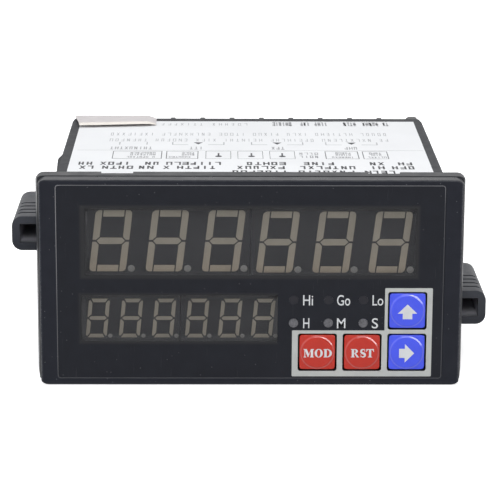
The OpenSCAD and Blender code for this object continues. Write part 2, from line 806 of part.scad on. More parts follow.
// Board behind the displays, screwed to the frame's posts
module display_board() {
    color("#1f5a3a") difference() {
        along_y(y_board, y_board_rear) square(
            [cavity_w - 2 * board_gap, cavity_h - 2 * board_gap], center = true);
        for (p = post_at) at_front(p)
            bore_y(post_screw_d + 2 * seat_gap, y_board - 1, y_board_rear + 1);
    }
}

// Four screws with round heads, from the rear of the display board
module board_screws() {
    color("silver") for (p = post_at) at_front(p) {
        bore_y(post_screw_d - 2 * shaft_gap, y_board_rear - post_screw_len, y_board_rear);
        bore_y(post_d, y_board_rear, y_board_rear + post_head_h);
    }
}

// Long board in the case's guide slots; side is 1 for the upper one
module long_board(side) {
    color("#1f5a3a") translate([0, 0, side * (board_z + board_t / 2)])
        translate([-board_w / 2, y_long, -board_t / 2])
            cube([board_w, y_long_end - y_long, board_t]);
}

module power_board() { long_board(1); }
module main_board() { long_board(-1); }

// Link between the display board and a long board
module board_link(side) {
    color("#222224") mirror([0, 0, side < 0 ? 1 : 0])
        translate([-link_w * grow_x / 2, y_board_rear, board_z - link_h])
            cube([link_w * grow_x, link_d, link_h]);
}

module link_upper() { board_link(1); }
module link_lower() { board_link(-1); }

// Transformer under the power board: a window core and a winding on its centre leg
core_leg = core_w / 4;
core_window_h = core_h - core_leg;
core_top = board_z - core_lift;

module transformer_core() {
    color("#3b3b3d") translate([transformer_at[0] * grow_x, transformer_at[1] - core_t / 2, core_top - core_h])
        difference() {
            translate([-core_w / 2, 0, 0]) cube([core_w, core_t, core_h]);
            for (x = [-1, 1]) translate([x * core_leg * 1.25 - core_leg * 0.75, -1, core_leg / 2])
                cube([core_leg * 1.5, core_t + 2, core_window_h]);
        }
}

module transformer_coil() {
    leg_w = core_leg + 2 * seat_gap;
    leg_t = core_t + 2 * seat_gap;
    tall = core_window_h - 2 * seat_gap;
    out_w = core_leg + 2 * coil_fill;
    out_t = core_t + 2 * coil_build;
    z0 = core_top - core_h + core_leg / 2 + seat_gap;
    color("#b8862b") translate([transformer_at[0] * grow_x, transformer_at[1], 0]) {
        difference() {
            translate([-out_w / 2, -out_t / 2, z0]) cube([out_w, out_t, tall]);
            translate([-leg_w / 2, -leg_t / 2, z0 - 1]) cube([leg_w, leg_t, tall + 2]);
        }
        for (x = [-1, 1], y = [-1, 1])
            translate([x * out_w / 4, y * (core_t / 2 + coil_build / 2), z0 + tall])
                cylinder(d = coil_pin_d, h = board_z - z0 - tall);
    }
}

// Relays under the power board
module relay(i) {
    x = (relay_at[0] + i * relay_pitch) * grow_x;
    color("#e8e6dc") translate([x, relay_at[1], board_z - relay_h]) difference() {
        translate([-relay_t / 2, -relay_w / 2, 0]) cube([relay_t, relay_w, relay_h]);
        for (m = [0, 1]) mirror([m, 0, 0]) translate([relay_t / 2, 0, 0]) rotate([0, 45, 0])
            cube([relay_bevel * sqrt(2), relay_w + 2, relay_bevel * sqrt(2)], center = true);
    }
}

module relay_left() { relay(0); }
module relay_right() { relay(1); }

// Filter capacitors under the power board, with a crimp below the rim
module filter_capacitors() {
    r = capacitor_d / 2;
    c = capacitor_crimp;
    color("#31405e") for (i = [0, 1])
        translate([capacitor_at[0] * grow_x, capacitor_at[1] + i * capacitor_pitch, board_z]) mirror([0, 0, 1])
            rotate_extrude() polygon([
                [0, 0], [r, 0], [r, 3 * c], [r - c, 4 * c], [r, 5 * c],
                [r, capacitor_h - c], [r - c, capacitor_h], [0, capacitor_h]
            ]);
}

// Controller chip on the main board
module controller_chip() {
    color("#1b1b1d") translate([chip_at[0] * grow_x, chip_at[1], -board_z]) {
        translate([-chip_w / 2, -chip_w / 2, 0]) cube([chip_w, chip_w, chip_t]);
        lead_pitch = chip_w / (chip_leads + 2);
        for (a = [0, 90, 180, 270], i = [-(chip_leads - 1) / 2:(chip_leads - 1) / 2]) rotate([0, 0, a])
            translate([chip_w / 2, i * lead_pitch - chip_lead_w / 2, 0])
                cube([chip_lead, chip_lead_w, chip_t / 5]);
    }
}

// Plan of the case: straight top and bottom, sides drawn in towards the rear
module case_plan(w0, w1) {
    polygon([[-w0 / 2, 0], [w0 / 2, 0], [w1 / 2, case_d], [-w1 / 2, case_d]]);
}

module case_block() {
    intersection() {
        along_y(0, case_d) rounded_rect(case_w, case_h, case_edge);
        translate([0, 0, -case_h / 2 - 1]) linear_extrude(case_h + 2) case_plan(case_w, rear_w);
    }
}

// Dovetail rail with ratchet teeth along the left side of the case
module clip_rail() {
    root = case_w / 2 - case_wall / 2;
    top = case_w / 2 + rail_h;
    intersection() {
        along_y(0, case_d) translate([0, clip_z]) polygon([
            [-root, -rail_neck / 2], [-case_w / 2, -rail_neck / 2],
            [-top, -rail_top / 2], [-top, rail_top / 2],
            [-case_w / 2, rail_neck / 2], [-root, rail_neck / 2]
        ]);
        linear_extrude(clip_z + clip_h) polygon(concat(
            [[-root, 0]],
            [for (y = [0:tooth_pitch:case_d - tooth_pitch], k = [0, 1])
                [-top + k * tooth_depth, y + k * tooth_pitch * 0.9]],
            [[-top, case_d], [-root, case_d]]));
    }
}

// Wedge beside the top left edge
module side_wedge() {
    x = case_w / 2;
    wedge_end = wedge_y + wedge_d;
    translate([0, 0, case_h / 2 - case_edge - wedge_z]) linear_extrude(wedge_z) polygon([
        [-x + case_wall / 2, wedge_y], [-x, wedge_y],
        [-x - wedge_h, wedge_end - wedge_flat], [-x - wedge_h, wedge_end],
        [-x, wedge_end + wedge_ramp], [-x + case_wall / 2, wedge_end + wedge_ramp]
    ]);
}

// Case: flange, tapered shell, clip rails, wedges and board guides
module housing() {
    slot = board_t + 2 * seat_gap;
    color("#333438") {
        difference() {
            union() {
                intersection() {
                    along_y(y_flange, 0) rounded_rect(bezel_w, bezel_h, flange_corner);
                    bezel_plan();
                }
                case_block();
                for (a = [0, 180]) rotate([0, a, 0]) {
                    clip_rail();
                    side_wedge();
                }
            }
            along_y(y_flange - 1, case_d + 1) rounded_rect(cavity_w, cavity_h, corner_small);
            along_y(y_flange - 1, y_flange + lip_d + seat_gap) rounded_rect(
                lip_w + 2 * seat_gap, lip_h + 2 * seat_gap, corner_small + seat_gap);
            for (x = [-1, 1], z = [-1, 1])
                translate([x * notch_x * grow_x, 0, z * bezel_h / 2])
                    cube([notch_w, 2 * notch_d, 2 * notch_h], center = true);
        }
        for (m = [0, 1], z = [-1, 1], k = [-1, 1]) mirror([m, 0, 0])
            translate([cavity_w / 2 - guide_h, y_stop,
                       z * (board_z + board_t / 2) + k * (slot + guide_t) / 2 - guide_t / 2])
                cube([guide_h + case_wall / 2, y_long_end - y_stop, guide_t]);
    }
}

// Rear cover: plate with vents, windows for the terminal plugs and a collar
module rear_cover() {
    collar_w = cavity_w - 2 * board_gap;
    collar_h = cavity_h - 2 * board_gap;
    color("#333438") difference() {
        union() {
            along_y(case_d, y_cover) rounded_rect(rear_w, case_h, case_edge);
            along_y(case_d - collar_d, case_d) rounded_rect(collar_w, collar_h, corner_small);
        }
        along_y(case_d - collar_d - 1, case_d) rounded_rect(
            collar_w - 2 * collar_wall, collar_h - 2 * collar_wall, corner_small);
        for (z = [-1, 1]) along_y(case_d - 1, y_cover + 1)
            translate([0, z * (board_outer + plug_h / 2)])
                square([plug_w + 2 * seat_gap, plug_h + 2 * seat_gap], center = true);
        for (i = [-(vents - 1) / 2:(vents - 1) / 2])
            along_y(case_d - 1, y_cover + 1) translate([i * vent_pitch * grow_x, 0])
                rounded_rect(vent_w, vent_h, vent_w / 2 - eps);
    }
}

function terminal_x(i) = (i - (terminals - 1) / 2) * cell_pitch;
head_d = screw_head_d * grow;
terminal_z = block_z + terminal_wall + (terminal_h - terminal_wall) / 2;

// Terminal block: floor, ribs between the cells, end cheeks and a plug through the cover
module terminal_block() {
    cell = cell_pitch - terminal_rib;
    cheek_w = (rear_w - block_w) / 2 + terminal_rib;
    cheek_h = terminal_h + cheek_rise;
    color("#2a2a2c") difference() {
        union() {
            translate([-block_w / 2, y_cover, block_z])
                cube([block_w, y_rib - y_cover, terminal_h]);
            translate([-plug_w / 2, y_cover - terminal_plug_d, board_outer])
                cube([plug_w, terminal_plug_d, plug_h]);
            for (x = [-1, 1]) along_y(y_cover, y_rib)
                translate([x * (rear_w - cheek_w) / 2, block_z + cheek_h / 2])
                    rounded_rect(cheek_w, cheek_h, cheek_corner);
        }
        for (i = [0:terminals - 1]) translate([terminal_x(i), 0, 0]) {
            translate([-cell / 2, y_floor, block_z + terminal_wall])
                cube([cell, terminal_rib_d + 1, terminal_h]);
            translate([0, 0, terminal_z]) bore_y(
                screw_d + 2 * shaft_gap, y_floor - screw_len + clamp_t - end_gap, y_floor + 1);
        }
    }
}

module clamp_plates() {
    color("#c9c5b4") for (i = [0:terminals - 1]) translate([terminal_x(i), 0, terminal_z])
        difference() {
            along_y(y_floor, y_floor + clamp_t) square(clamp_w * grow, center = true);
            bore_y(screw_d + 2 * seat_gap, y_floor - 1, y_floor + clamp_t + 1);
        }
}

// Screws with a crossed slot in the head
module terminal_screws() {
    y_head = y_floor + clamp_t;
    color("silver") for (i = [0:terminals - 1]) translate([terminal_x(i), 0, terminal_z]) {
        bore_y(screw_d, y_head - screw_len, y_head);
        difference() {
            bore_y(head_d, y_head, y_head + screw_head_h);
            for (a = [0, 90]) rotate([0, a, 0])
                translate([-screw_slot / 2, y_head + screw_head_h / 2, -screw_slot_w / 2])
                    cube([screw_slot, screw_head_h, screw_slot_w]);
        }
    }
}

module terminal_block_upper() { terminal_block(); }
module terminal_block_lower() { mirror([0, 0, 1]) terminal_block(); }
module clamp_plates_upper() { clamp_plates(); }
module clamp_plates_lower() { mirror([0, 0, 1]) clamp_plates(); }
module terminal_screws_upper() { terminal_screws(); }
module terminal_screws_lower() { mirror([0, 0, 1]) terminal_screws(); }

// Section of a clip, with round outer corners
module clip_section() {
    inner = -(case_w / 2 + rail_h / 4);
    outer = -clip_reach;
    half = clip_h / 2;
    r = clip_corner;
    polygon(concat(
        arc([outer + r, half - r], r, 90, 180), arc([outer + r, r - half], r, 180, 270),
        [[inner, -half], [inner, half]]));
}

// Side clip: hollow box on the dovetail rail, with straight grip grooves across its top and bottom
module side_clip() {
    top = -(case_w / 2 + rail_h + rail_gap);
    neck = -case_w / 2;
    hollow_in = top - clip_wall;
    hollow_out = -clip_reach + clip_wall;
    hollow_h = clip_h - 2 * clip_wall;
    color("#2f3034") translate([0, 0, clip_z]) difference() {
        along_y(clip_y, clip_y + clip_d) clip_section();
        along_y(clip_y - 1, clip_y + clip_d + 1) polygon([
            [neck + 1, -rail_neck / 2 - rail_gap], [neck, -rail_neck / 2 - rail_gap],
            [top, -rail_top / 2 - rail_gap], [top, rail_top / 2 + rail_gap],
            [neck, rail_neck / 2 + rail_gap], [neck + 1, rail_neck / 2 + rail_gap]
        ]);
        along_y(clip_y - 1, clip_y + clip_hollow_d) translate([hollow_out, -hollow_h / 2])
            square([hollow_in - hollow_out, hollow_h]);
        for (i = [0:clip_grooves - 1]) {
            y = clip_y + clip_groove_y + i * clip_groove_pitch;
            for (m = [0, 1]) mirror([0, 0, m])
                translate([-clip_reach - 1, y - clip_groove_w / 2, clip_h / 2 - clip_groove_depth])
                    cube([clip_reach, clip_groove_w, clip_h]);
        }
    }
}

module clip_left() { side_clip(); }
module clip_right() { rotate([0, 180, 0]) side_clip(); }

// Wiring label on the case top
module top_label() {
    color("#f2f2f0") translate([-label_w * grow_x / 2, label_y, case_h / 2])
        cube([label_w * grow_x, case_d - label_margin - label_y, label_t]);
}

// Paper seal over the rear edge, its front edge curled up
module seal_strip() {
    z = case_h / 2 + label_t;
    y0 = case_d - seal_d;
    y1 = y_cover + seal_over;
    left = -rear_w / 2 + seal_x;
    curl = [for (t = [0:0.25:1]) [y0 + t * seal_curl_d, z + seal_curl * pow(1 - t, 2)]];
    color("#efe9e2") translate([left, 0, 0]) rotate([90, 0, 90]) linear_extrude(seal_w) polygon(concat(
        curl, [[y1, z], [y1, z + seal_t]],
        [for (i = [4:-1:0]) curl[i] + [0, seal_t]]));
}

front_frame();
front_overlay();
main_window();
preset_window();
key_up();
key_right();
key_mode();
key_reset();
plunger_up();
plunger_right();
plunger_mode();
plunger_reset();
switch_up();
switch_right();
switch_mode();
switch_reset();
main_display_left();
main_display_right();
main_segments_left();
main_segments_right();
preset_display_left();
preset_display_right();
preset_segments_left();
preset_segments_right();
lamp_high();
lamp_go();
lamp_low();
lamp_hours();
lamp_minutes();
lamp_seconds();
display_board();
board_screws();
main_board();
power_board();
link_upper();
link_lower();
transformer_core();
transformer_coil();
relay_left();
relay_right();
filter_capacitors();
controller_chip();
housing();
rear_cover();
terminal_block_upper();
terminal_block_lower();
clamp_plates_upper();
clamp_plates_lower();
terminal_screws_upper();
terminal_screws_lower();
clip_left();
clip_right();
top_label();
seal_strip();
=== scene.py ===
"""Looks of the panel counter: finishes, prints, keys, curled seal, studio and camera."""

import json
import math
import random

import bmesh
import bpy
from mathutils import Matrix, Vector

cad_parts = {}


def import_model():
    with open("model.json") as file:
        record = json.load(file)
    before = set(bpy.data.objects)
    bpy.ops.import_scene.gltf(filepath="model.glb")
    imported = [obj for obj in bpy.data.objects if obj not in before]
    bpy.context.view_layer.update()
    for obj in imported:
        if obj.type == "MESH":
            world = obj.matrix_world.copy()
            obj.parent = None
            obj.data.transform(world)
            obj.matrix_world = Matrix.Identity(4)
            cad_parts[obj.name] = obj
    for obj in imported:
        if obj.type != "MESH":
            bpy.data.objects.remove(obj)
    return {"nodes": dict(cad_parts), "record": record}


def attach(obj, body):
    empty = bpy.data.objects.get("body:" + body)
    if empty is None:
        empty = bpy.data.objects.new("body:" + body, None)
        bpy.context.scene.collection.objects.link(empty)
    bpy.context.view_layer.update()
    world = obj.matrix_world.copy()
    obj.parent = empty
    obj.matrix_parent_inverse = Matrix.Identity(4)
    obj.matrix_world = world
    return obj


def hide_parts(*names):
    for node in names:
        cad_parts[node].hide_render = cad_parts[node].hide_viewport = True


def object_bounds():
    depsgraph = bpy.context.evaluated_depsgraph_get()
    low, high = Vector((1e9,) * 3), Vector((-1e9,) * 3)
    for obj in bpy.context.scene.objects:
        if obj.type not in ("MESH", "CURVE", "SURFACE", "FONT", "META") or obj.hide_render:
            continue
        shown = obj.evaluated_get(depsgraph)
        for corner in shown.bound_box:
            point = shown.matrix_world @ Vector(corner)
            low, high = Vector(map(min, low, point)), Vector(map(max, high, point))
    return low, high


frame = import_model()
cad_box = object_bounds()
nodes = frame["nodes"]

# Sizes in millimetres; X runs right, Y into the panel and Z up
MM = 0.001
FRONT_Y = -8.2            # front face of the bezel and its film
INK = 0.02                # thickness of printed ink
LABEL_TOP = 22.4
COVER_Y = 70.0            # rear face of the rear cover

FILM = {"x": (-43.82, 43.55), "z": (-22.35, 22.78), "corner": 0.7}
FILM_LINE = 0.17          # width of the film's cut edge
# Panes of the windows; seam is where two displays meet behind them
MAIN_PANE = {"x": 0.0, "z": 9.6, "wide": 76.4, "high": 16.5, "seam": 0.0}
PRESET_PANE = {"x": -16.1, "z": -8.2, "wide": 44.9, "high": 11.4, "seam": -15.85}
# Print round the panes, outwards from their edges: left, foot, right, head, then the corner radius
PRINT_OUTER = (0.9, 0.9, 0.9, 0.9, 0.8)
# the inner outlines reach into the panes, where the print is painted light over their shaded borders
MAIN_INNER = (-0.95, -0.6, -1.05, -0.4, 0.3)
PRESET_INNER = (-0.3, -0.3, -0.2, -0.2, 0.3)
# Decimal points: one centre, pitch, reach around it, lowest and highest edge
POINTS = ((-27.2, 12.7, 0.95, 0.5, 4.0), (-31.82, 7.5, 0.62, -14.2, -11.9))
LAMP_X = (9.73, 17.63, 25.53)
LAMP_ROWS = (-3.83, -9.22)
LAMP_DOT = {"radius": 1.03, "thick": 0.08}
BEZEL_HALF = (47.5, 23.9)  # half width and height of the front face
# Places where a touch of a finish fades in or out
BEZEL_FLAT = (22.0, 22.5)  # the bezel's top and bottom faces, up or down from its middle
CASE_RIM = {"y": (3.0, 6.0), "z": (20.5, 21.0)}  # the dull rim round the label
CLIP_HOLLOW = {"x": (46.0, 52.9), "z": 8.75, "half": 2.25, "front": 3.6, "fade": 3.0}
PANE_STREAK = {"x": (-36.95, -36.8), "z": (13.6, 16.4)}
LARGE_DIGITS = (-1.0, -0.5)  # below them are the small digits
WARM_DIGITS = (2.2, 9.0)  # the warm tint at the feet of the large digits

KEY_HOLE = 8.87
KEY_SIDE = 8.11
KEYS = {
    "up": (35.52, -6.32),
    "right": (35.52, -16.12),
    "mode": (15.2, -16.12),
    "reset": (25.36, -16.12),
}
BLUE_KEYS = ("up", "right")
KEY_BACK_Y = -6.85
KEY_EASE = 0.14           # radius of the cap's front edge
KEY_RAISE = 0.34          # height of the round pad
KEY_RIM = 0.97            # share of that height at the rim of the pad, which is a little domed
KEY_PAD = (4.06, 3.38)    # radius of the round pad at its foot and at its top
KEY_HIGHLIGHT_RING = (3.62, 3.92)   # painted highlight: a pale ring on the slope of the pad
KEY_POINTS = 96           # points round a cap
FIELD = {"left": 9.42, "right": 41.17, "bottom": -21.85, "strip_top": -10.95,
         "column_left": 30.4, "top": -1.0, "corner": 0.25}

TERMINALS = 11
TERMINAL_PITCH = 7.62
NUMBER_Z = (6.1, -8.3)    # foot of the numbers beside each row
NUMBER_HIGH = 2.2

# Seal: left end at the front and at the rear, right end, front edge left and right, rear edge. From the
# share round_from of its width on it is rounded, by so much at the front and rear, and lies flatter
SEAL = {"left": (-42.1, -44.1), "right": -23.0, "front": (57.0, 59.3), "rear": 72.2, "thick": 0.12,
        "round_from": 0.86, "round_front": 1.2, "round_rear": 3.4, "flatter": 0.8, "lowest": 0.07}
# Shares of the way from the rear edge to the front edge, each with its height over the label
SEAL_SECTION = ((0.0, 0.20), (0.15, 0.31), (0.35, 0.49), (0.55, 0.70), (0.72, 0.89), (0.83, 1.02),
                (0.89, 1.09), (0.908, 1.10), (0.93, 1.04), (0.965, 0.91), (1.0, 0.76), (0.996, 0.70))
SEAL_LIP_FROM = 7         # step of the section where the lip turns down
SEAL_STEPS = 32           # steps across

# Tones that lie over a finish: wear and dirt, painted highlights, painted light and painted shade, then
# print and mouldings
SCRATCH_TONE = (0.30, 0.30, 0.31, 1.0)
DUST_TONE = (0.42, 0.41, 0.40, 1.0)
SPECK_TONE = (0.50, 0.50, 0.52, 1.0)
WORN_EDGE_AND_HIGHLIGHT_TONE = (0.15, 0.155, 0.17, 1.0)
HOLLOW_PAINTED_LIGHT_TONE = (0.38, 0.38, 0.41, 1.0)
PANE_STREAK_TONE = (0.4, 0.4, 0.42, 1.0)
LINING_PAINTED_LIGHT_TONE = (0.075, 0.075, 0.08, 1.0)
BOARD_MASK_TONE = (0.16, 0.16, 0.17, 1.0)
FACE_RIM_PAINTED_LIGHT_TONE = (0.15, 0.15, 0.157, 1.0)
SEAM_PAINTED_LIGHT_TONE = (0.4, 0.4, 0.41, 1.0)
POINT_TONE = (0.295, 0.29, 0.278, 1.0)
WARM_TONE = (1.0, 0.66, 0.39, 1.0)
PRINT_AND_PAINTED_LIGHT_TONE = (0.0170, 0.0170, 0.0186, 1.0)
CUT_EDGE_HIGHLIGHT_TONE = (0.24, 0.24, 0.25, 1.0)
CLIP_TOP_HIGHLIGHT_TONE = (0.95, 1.0, 1.12, 1.0)
KEY_HIGHLIGHT_TONE = (1.0, 0.95, 0.95, 1.0)
NO_LIGHT = (0.0, 0.0, 0.0, 1.0)
WHITE = (1.0, 1.0, 1.0, 1.0)

# Studio, in metres: where the lamps point and the floor's reach and gap; the photograph, in pixels
LAMP_AIM = Vector((0, 0.02, 0))
LAMP_TINT = (0.965, 0.98, 1.0)
FLOOR_HALF = 4.0
FLOOR_GAP = 0.0001
FLOOR_GREY = (0.78, 0.78, 0.78, 1.0)
FLOOR_GLOW = 0.72
PLAIN_LIGHT = 0.45        # strength of the white surroundings as a light
PHOTO = {"side": 500, "focal": 2360.3}

# Matrices that lay a flat drawing on the front, on the label (read from the rear) and on the rear cover
ON_FRONT = Matrix(((1, 0, 0, 0), (0, 0, -1, FRONT_Y), (0, 1, 0, 0), (0, 0, 0, 1)))
ON_LABEL = Matrix(((1, 0, 0, 0), (0, 1, 0, 0), (0, 0, 1, LABEL_TOP), (0, 0, 0, 1)))
ON_REAR = Matrix(((-1, 0, 0, 0), (0, 0, 1, COVER_Y), (0, 1, 0, 0), (0, 0, 0, 1)))


# Node helpers

def put(tree, kind, **values):
    """Adds a node; values name its inputs, and a socket given as a value is linked."""
    made = tree.nodes.new(kind)
    for key, value in values.items():
        feed(tree, made.inputs[key.replace("_", " ")], value)
    return made


def feed(tree, socket, value):
    """Links a socket given as a value, or sets a plain one."""
    if isinstance(value, bpy.types.NodeSocket):
        tree.links.new(value, socket)
    else:
        socket.default_value = value


def calc(tree, operation, *values):
    """Result of a Math node."""
    made = tree.nodes.new("ShaderNodeMath")
    made.operation = operation
    for socket, value in zip(made.inputs, values):
        feed(tree, socket, value)
    return made.outputs[0]


def times(tree, first, second):
    """Product of two values."""
    return calc(tree, "MULTIPLY", first, second)


def here(tree):
    """The surface point, in metres."""
    return put(tree, "ShaderNodeTexCoord").outputs["Object"]


def blend_colour(tree, factor, low, high):
    """Colour that runs from low to high with factor."""
    made = tree.nodes.new("ShaderNodeMix")
    made.data_type = "RGBA"
    feed(tree, made.inputs["Factor"], factor)
    feed(tree, made.inputs["A"], low)
    feed(tree, made.inputs["B"], high)
    return made.outputs["Result"]


def spread(tree, value, low, high, to_low=0.0, to_high=1.0, smooth=False):
    """Runs from to_low to to_high while value runs from low to high, and stays there."""
    made = put(tree, "ShaderNodeMapRange")
    if smooth:
        made.interpolation_type = "SMOOTHSTEP"
    for name, number in (("From Min", low), ("From Max", high), ("To Min", to_low), ("To Max", to_high)):
        made.inputs[name].default_value = number
    tree.links.new(value, made.inputs["Value"])
    return made.outputs["Result"]


def places(tree):
    """X, Y and Z of the surface point, in millimetres."""
    parts = put(tree, "ShaderNodeSeparateXYZ", Vector=here(tree)).outputs
    return [times(tree, parts[axis], 1000.0) for axis in ("X", "Y", "Z")]


def inside(tree, value, low, high, soft):
    """1 between low and high, with soft borders."""
    return times(tree, spread(tree, value, low - soft, low + soft, smooth=True),
                 spread(tree, value, high - soft, high + soft, 1.0, 0.0, smooth=True))


def new_group(name, inputs, outputs):
    """Empty shader group with float inputs and float outputs; returns tree, inputs and outputs."""
    tree = bpy.data.node_groups.new(name, "ShaderNodeTree")
    for label, default in inputs:
        socket = tree.interface.new_socket(label, in_out="INPUT", socket_type="NodeSocketFloat")
        socket.default_value = default
    for label in outputs:
        tree.interface.new_socket(label, in_out="OUTPUT", socket_type="NodeSocketFloat")
    return tree, tree.nodes.new("NodeGroupInput").outputs, tree.nodes.new("NodeGroupOutput").inputs


# Shared surface effects

def moulded_skin_group():
    """Fine grain of a moulded or printed skin: a height and a slow mottle."""
    tree, given, out = new_group(
        "moulded_skin", [("Grain per mm", 5.0), ("Mottle per mm", 0.25)], ["Height", "Mottle"])
    where = here(tree)
    fine = put(tree, "ShaderNodeTexNoise", Vector=where, Detail=3.0,
               Scale=times(tree, given["Grain per mm"], 1000.0))
    slow = put(tree, "ShaderNodeTexNoise", Vector=where, Detail=4.0,
               Scale=times(tree, given["Mottle per mm"], 1000.0))
    tree.links.new(fine.outputs["Fac"], out["Height"])
    tree.links.new(spread(tree, slow.outputs["Fac"], 0.3, 0.7), out["Mottle"])
    return tree


def dust_group():
    """Settled dust: small specks, and a thin veil on faces that look up."""
    tree, given, out = new_group(
        "settled_dust", [("Specks per mm", 0.8), ("Speck size", 0.09), ("Veil", 0.2)], ["Specks", "Veil"])
    where = here(tree)
    cells = put(tree, "ShaderNodeTexVoronoi", Vector=where,
                Scale=times(tree, given["Specks per mm"], 1000.0))
    near = calc(tree, "LESS_THAN", cells.outputs["Distance"], given["Speck size"])
    lot = put(tree, "ShaderNodeSeparateColor", Color=cells.outputs["Color"]).outputs["Red"]
    chosen = calc(tree, "GREATER_THAN", lot, 0.62)
    tree.links.new(times(tree, near, chosen), out["Specks"])
    normal = put(tree, "ShaderNodeNewGeometry").outputs["Normal"]
    upward = put(tree, "ShaderNodeSeparateXYZ", Vector=normal).outputs["Z"]
    cloud = put(tree, "ShaderNodeTexNoise", Vector=where, Scale=420.0, Detail=5.0)
    cloudy = spread(tree, cloud.outputs["Fac"], 0.25, 0.75)
    veil = times(tree, spread(tree, upward, 0.2, 1.0), cloudy)
    tree.links.new(times(tree, veil, given["Veil"]), out["Veil"])
    return tree


def scratch_group():
    """Hairline scratches in two directions."""
    tree, given, out = new_group("hairlines", [("Lines per mm", 1.2), ("Amount", 0.4)], ["Mask"])
    where = here(tree)
    masks = []
    for turn, squeeze in ((0.5, 18.0), (-0.9, 26.0)):
        turned = put(tree, "ShaderNodeMapping", Vector=where, Rotation=(0.0, turn, 0.0),
                     Scale=(squeeze, 1.0, 1.0))
        lines = put(tree, "ShaderNodeTexNoise", Vector=turned.outputs["Vector"], Detail=2.0,
                    Scale=times(tree, given["Lines per mm"], 120.0))
        masks.append(spread(tree, lines.outputs["Fac"], 0.70, 0.76))
    both = calc(tree, "MAXIMUM", *masks)
    tree.links.new(times(tree, both, given["Amount"]), out["Mask"])
    return tree


SKIN = moulded_skin_group()
DUST = dust_group()
HAIRLINES = scratch_group()


def use(tree, group, **values):
    """Outputs of a shared group, placed with these values."""
    made = tree.nodes.new("ShaderNodeGroup")
    made.node_tree = group
    for key, value in values.items():
        made.inputs[key.replace("_", " ")].default_value = value
    return made.outputs


def finish_material(name, colour, shade, rough, grain=6.0, grain_depth=0.004, mottle=0.25, dust=0.0,
                    specks=0.0, hairlines=0.0, specular=0.5, metallic=0.0, touch=None, alpha=1.0):
    """A finish whose colour runs from colour to shade with a slow mottle, under dust, specks and hairlines.
    rough is the lowest and highest roughness; grain_depth is in millimetres. touch changes the colour and
    roughness further."""
    made = bpy.data.materials.new(name)
    made.use_nodes = True
    tree = made.node_tree
    shader = tree.nodes["Principled BSDF"]
    skin = use(tree, SKIN, Grain_per_mm=grain, Mottle_per_mm=mottle)
    tint = blend_colour(tree, skin["Mottle"], (*colour, 1.0), (*shade, 1.0))
    roughness = spread(tree, skin["Mottle"], 0.0, 1.0, *rough)
    if hairlines:
        lines = use(tree, HAIRLINES, Amount=hairlines)["Mask"]
        tint = blend_colour(tree, lines, tint, SCRATCH_TONE)
    if dust or specks:
        settled = use(tree, DUST, Veil=dust)
        tint = blend_colour(tree, settled["Veil"], tint, DUST_TONE)
        if specks:
            share = times(tree, settled["Specks"], specks)
            tint = blend_colour(tree, share, tint, SPECK_TONE)
    if touch:
        tint, roughness = touch(tree, tint, roughness)
    tree.links.new(tint, shader.inputs["Base Color"])
    tree.links.new(roughness, shader.inputs["Roughness"])
    bump = put(tree, "ShaderNodeBump", Strength=1.0, Distance=grain_depth * MM, Height=skin["Height"])
    tree.links.new(bump.outputs["Normal"], shader.inputs["Normal"])
    shader.inputs["Specular IOR Level"].default_value = specular
    shader.inputs["Metallic"].default_value = metallic
    shader.inputs["Alpha"].default_value = alpha
    return made


def pane_border(tree, pane, start, end):
    """0 within a pane and 1 outside it; start and end are measured outwards from its edge."""
    x, _, z = places(tree)
    masks = []
    for value, middle, size in ((x, pane["x"], pane["wide"]), (z, pane["z"], pane["high"])):
        out = calc(tree, "ABSOLUTE", calc(tree, "SUBTRACT", value, middle))
        masks.append(spread(tree, out, size / 2 + start, size / 2 + end, smooth=True))
    return calc(tree, "MAXIMUM", *masks)


def bezel_touch(tree, tint, roughness):
    """Pale front edges, wear specks mixed with a painted highlight; window linings painted grey, as painted
    light that lifts their shade; smoother top and bottom faces; and side walls painted darker, as painted
    shade, and made dull.
    """
    x, y, z = places(tree)
    across, up = calc(tree, "ABSOLUTE", x), calc(tree, "ABSOLUTE", z)
    half, tall = BEZEL_HALF
    out_x = spread(tree, across, half - 0.45, half - 0.15, smooth=True)
    out_z = spread(tree, up, tall - 0.4, tall - 0.1, smooth=True)
    front = spread(tree, y, FRONT_Y + 0.15, FRONT_Y + 0.45, 1.0, 0.0, smooth=True)
    edge = times(tree, calc(tree, "MAXIMUM", out_x, times(tree, out_z, 0.3)), front)
    # painted highlight along the front edges, broken up by wear specks
    spots = put(tree, "ShaderNodeTexNoise", Vector=here(tree), Scale=3200.0, Detail=4.0)
    wear_and_highlight = times(tree, edge, spread(tree, spots.outputs["Fac"], 0.40, 0.70, 0.08, 0.42))
    tint = blend_colour(tree, wear_and_highlight, tint, WORN_EDGE_AND_HIGHLIGHT_TONE)
    # window linings painted grey: painted light that lifts the shade inside the openings
    for pane in (MAIN_PANE, PRESET_PANE):
        tint = blend_colour(tree, pane_border(tree, pane, 0.02, 0.08), LINING_PAINTED_LIGHT_TONE, tint)
    flat = times(tree, spread(tree, up, *BEZEL_FLAT), spread(tree, y, FRONT_Y + 0.25, FRONT_Y + 0.45))
    roughness = times(tree, roughness, spread(tree, flat, 0.0, 1.0, 1.0, 0.62))
    # the side walls are painted darker, as painted shade, and made fully rough
    side = spread(tree, across, half + 0.05, half + 0.25)
    tint = blend_colour(tree, times(tree, side, 0.85), tint, NO_LIGHT)
    return tint, calc(tree, "MAXIMUM", roughness, side)


def case_touch(tree, tint, roughness):
    """The case, with a duller rim round the label."""
    _, y, z = places(tree)
    rim = times(tree, spread(tree, y, *CASE_RIM["y"]), spread(tree, z, *CASE_RIM["z"]))
    return tint, calc(tree, "MAXIMUM", roughness, times(tree, rim, 0.72))


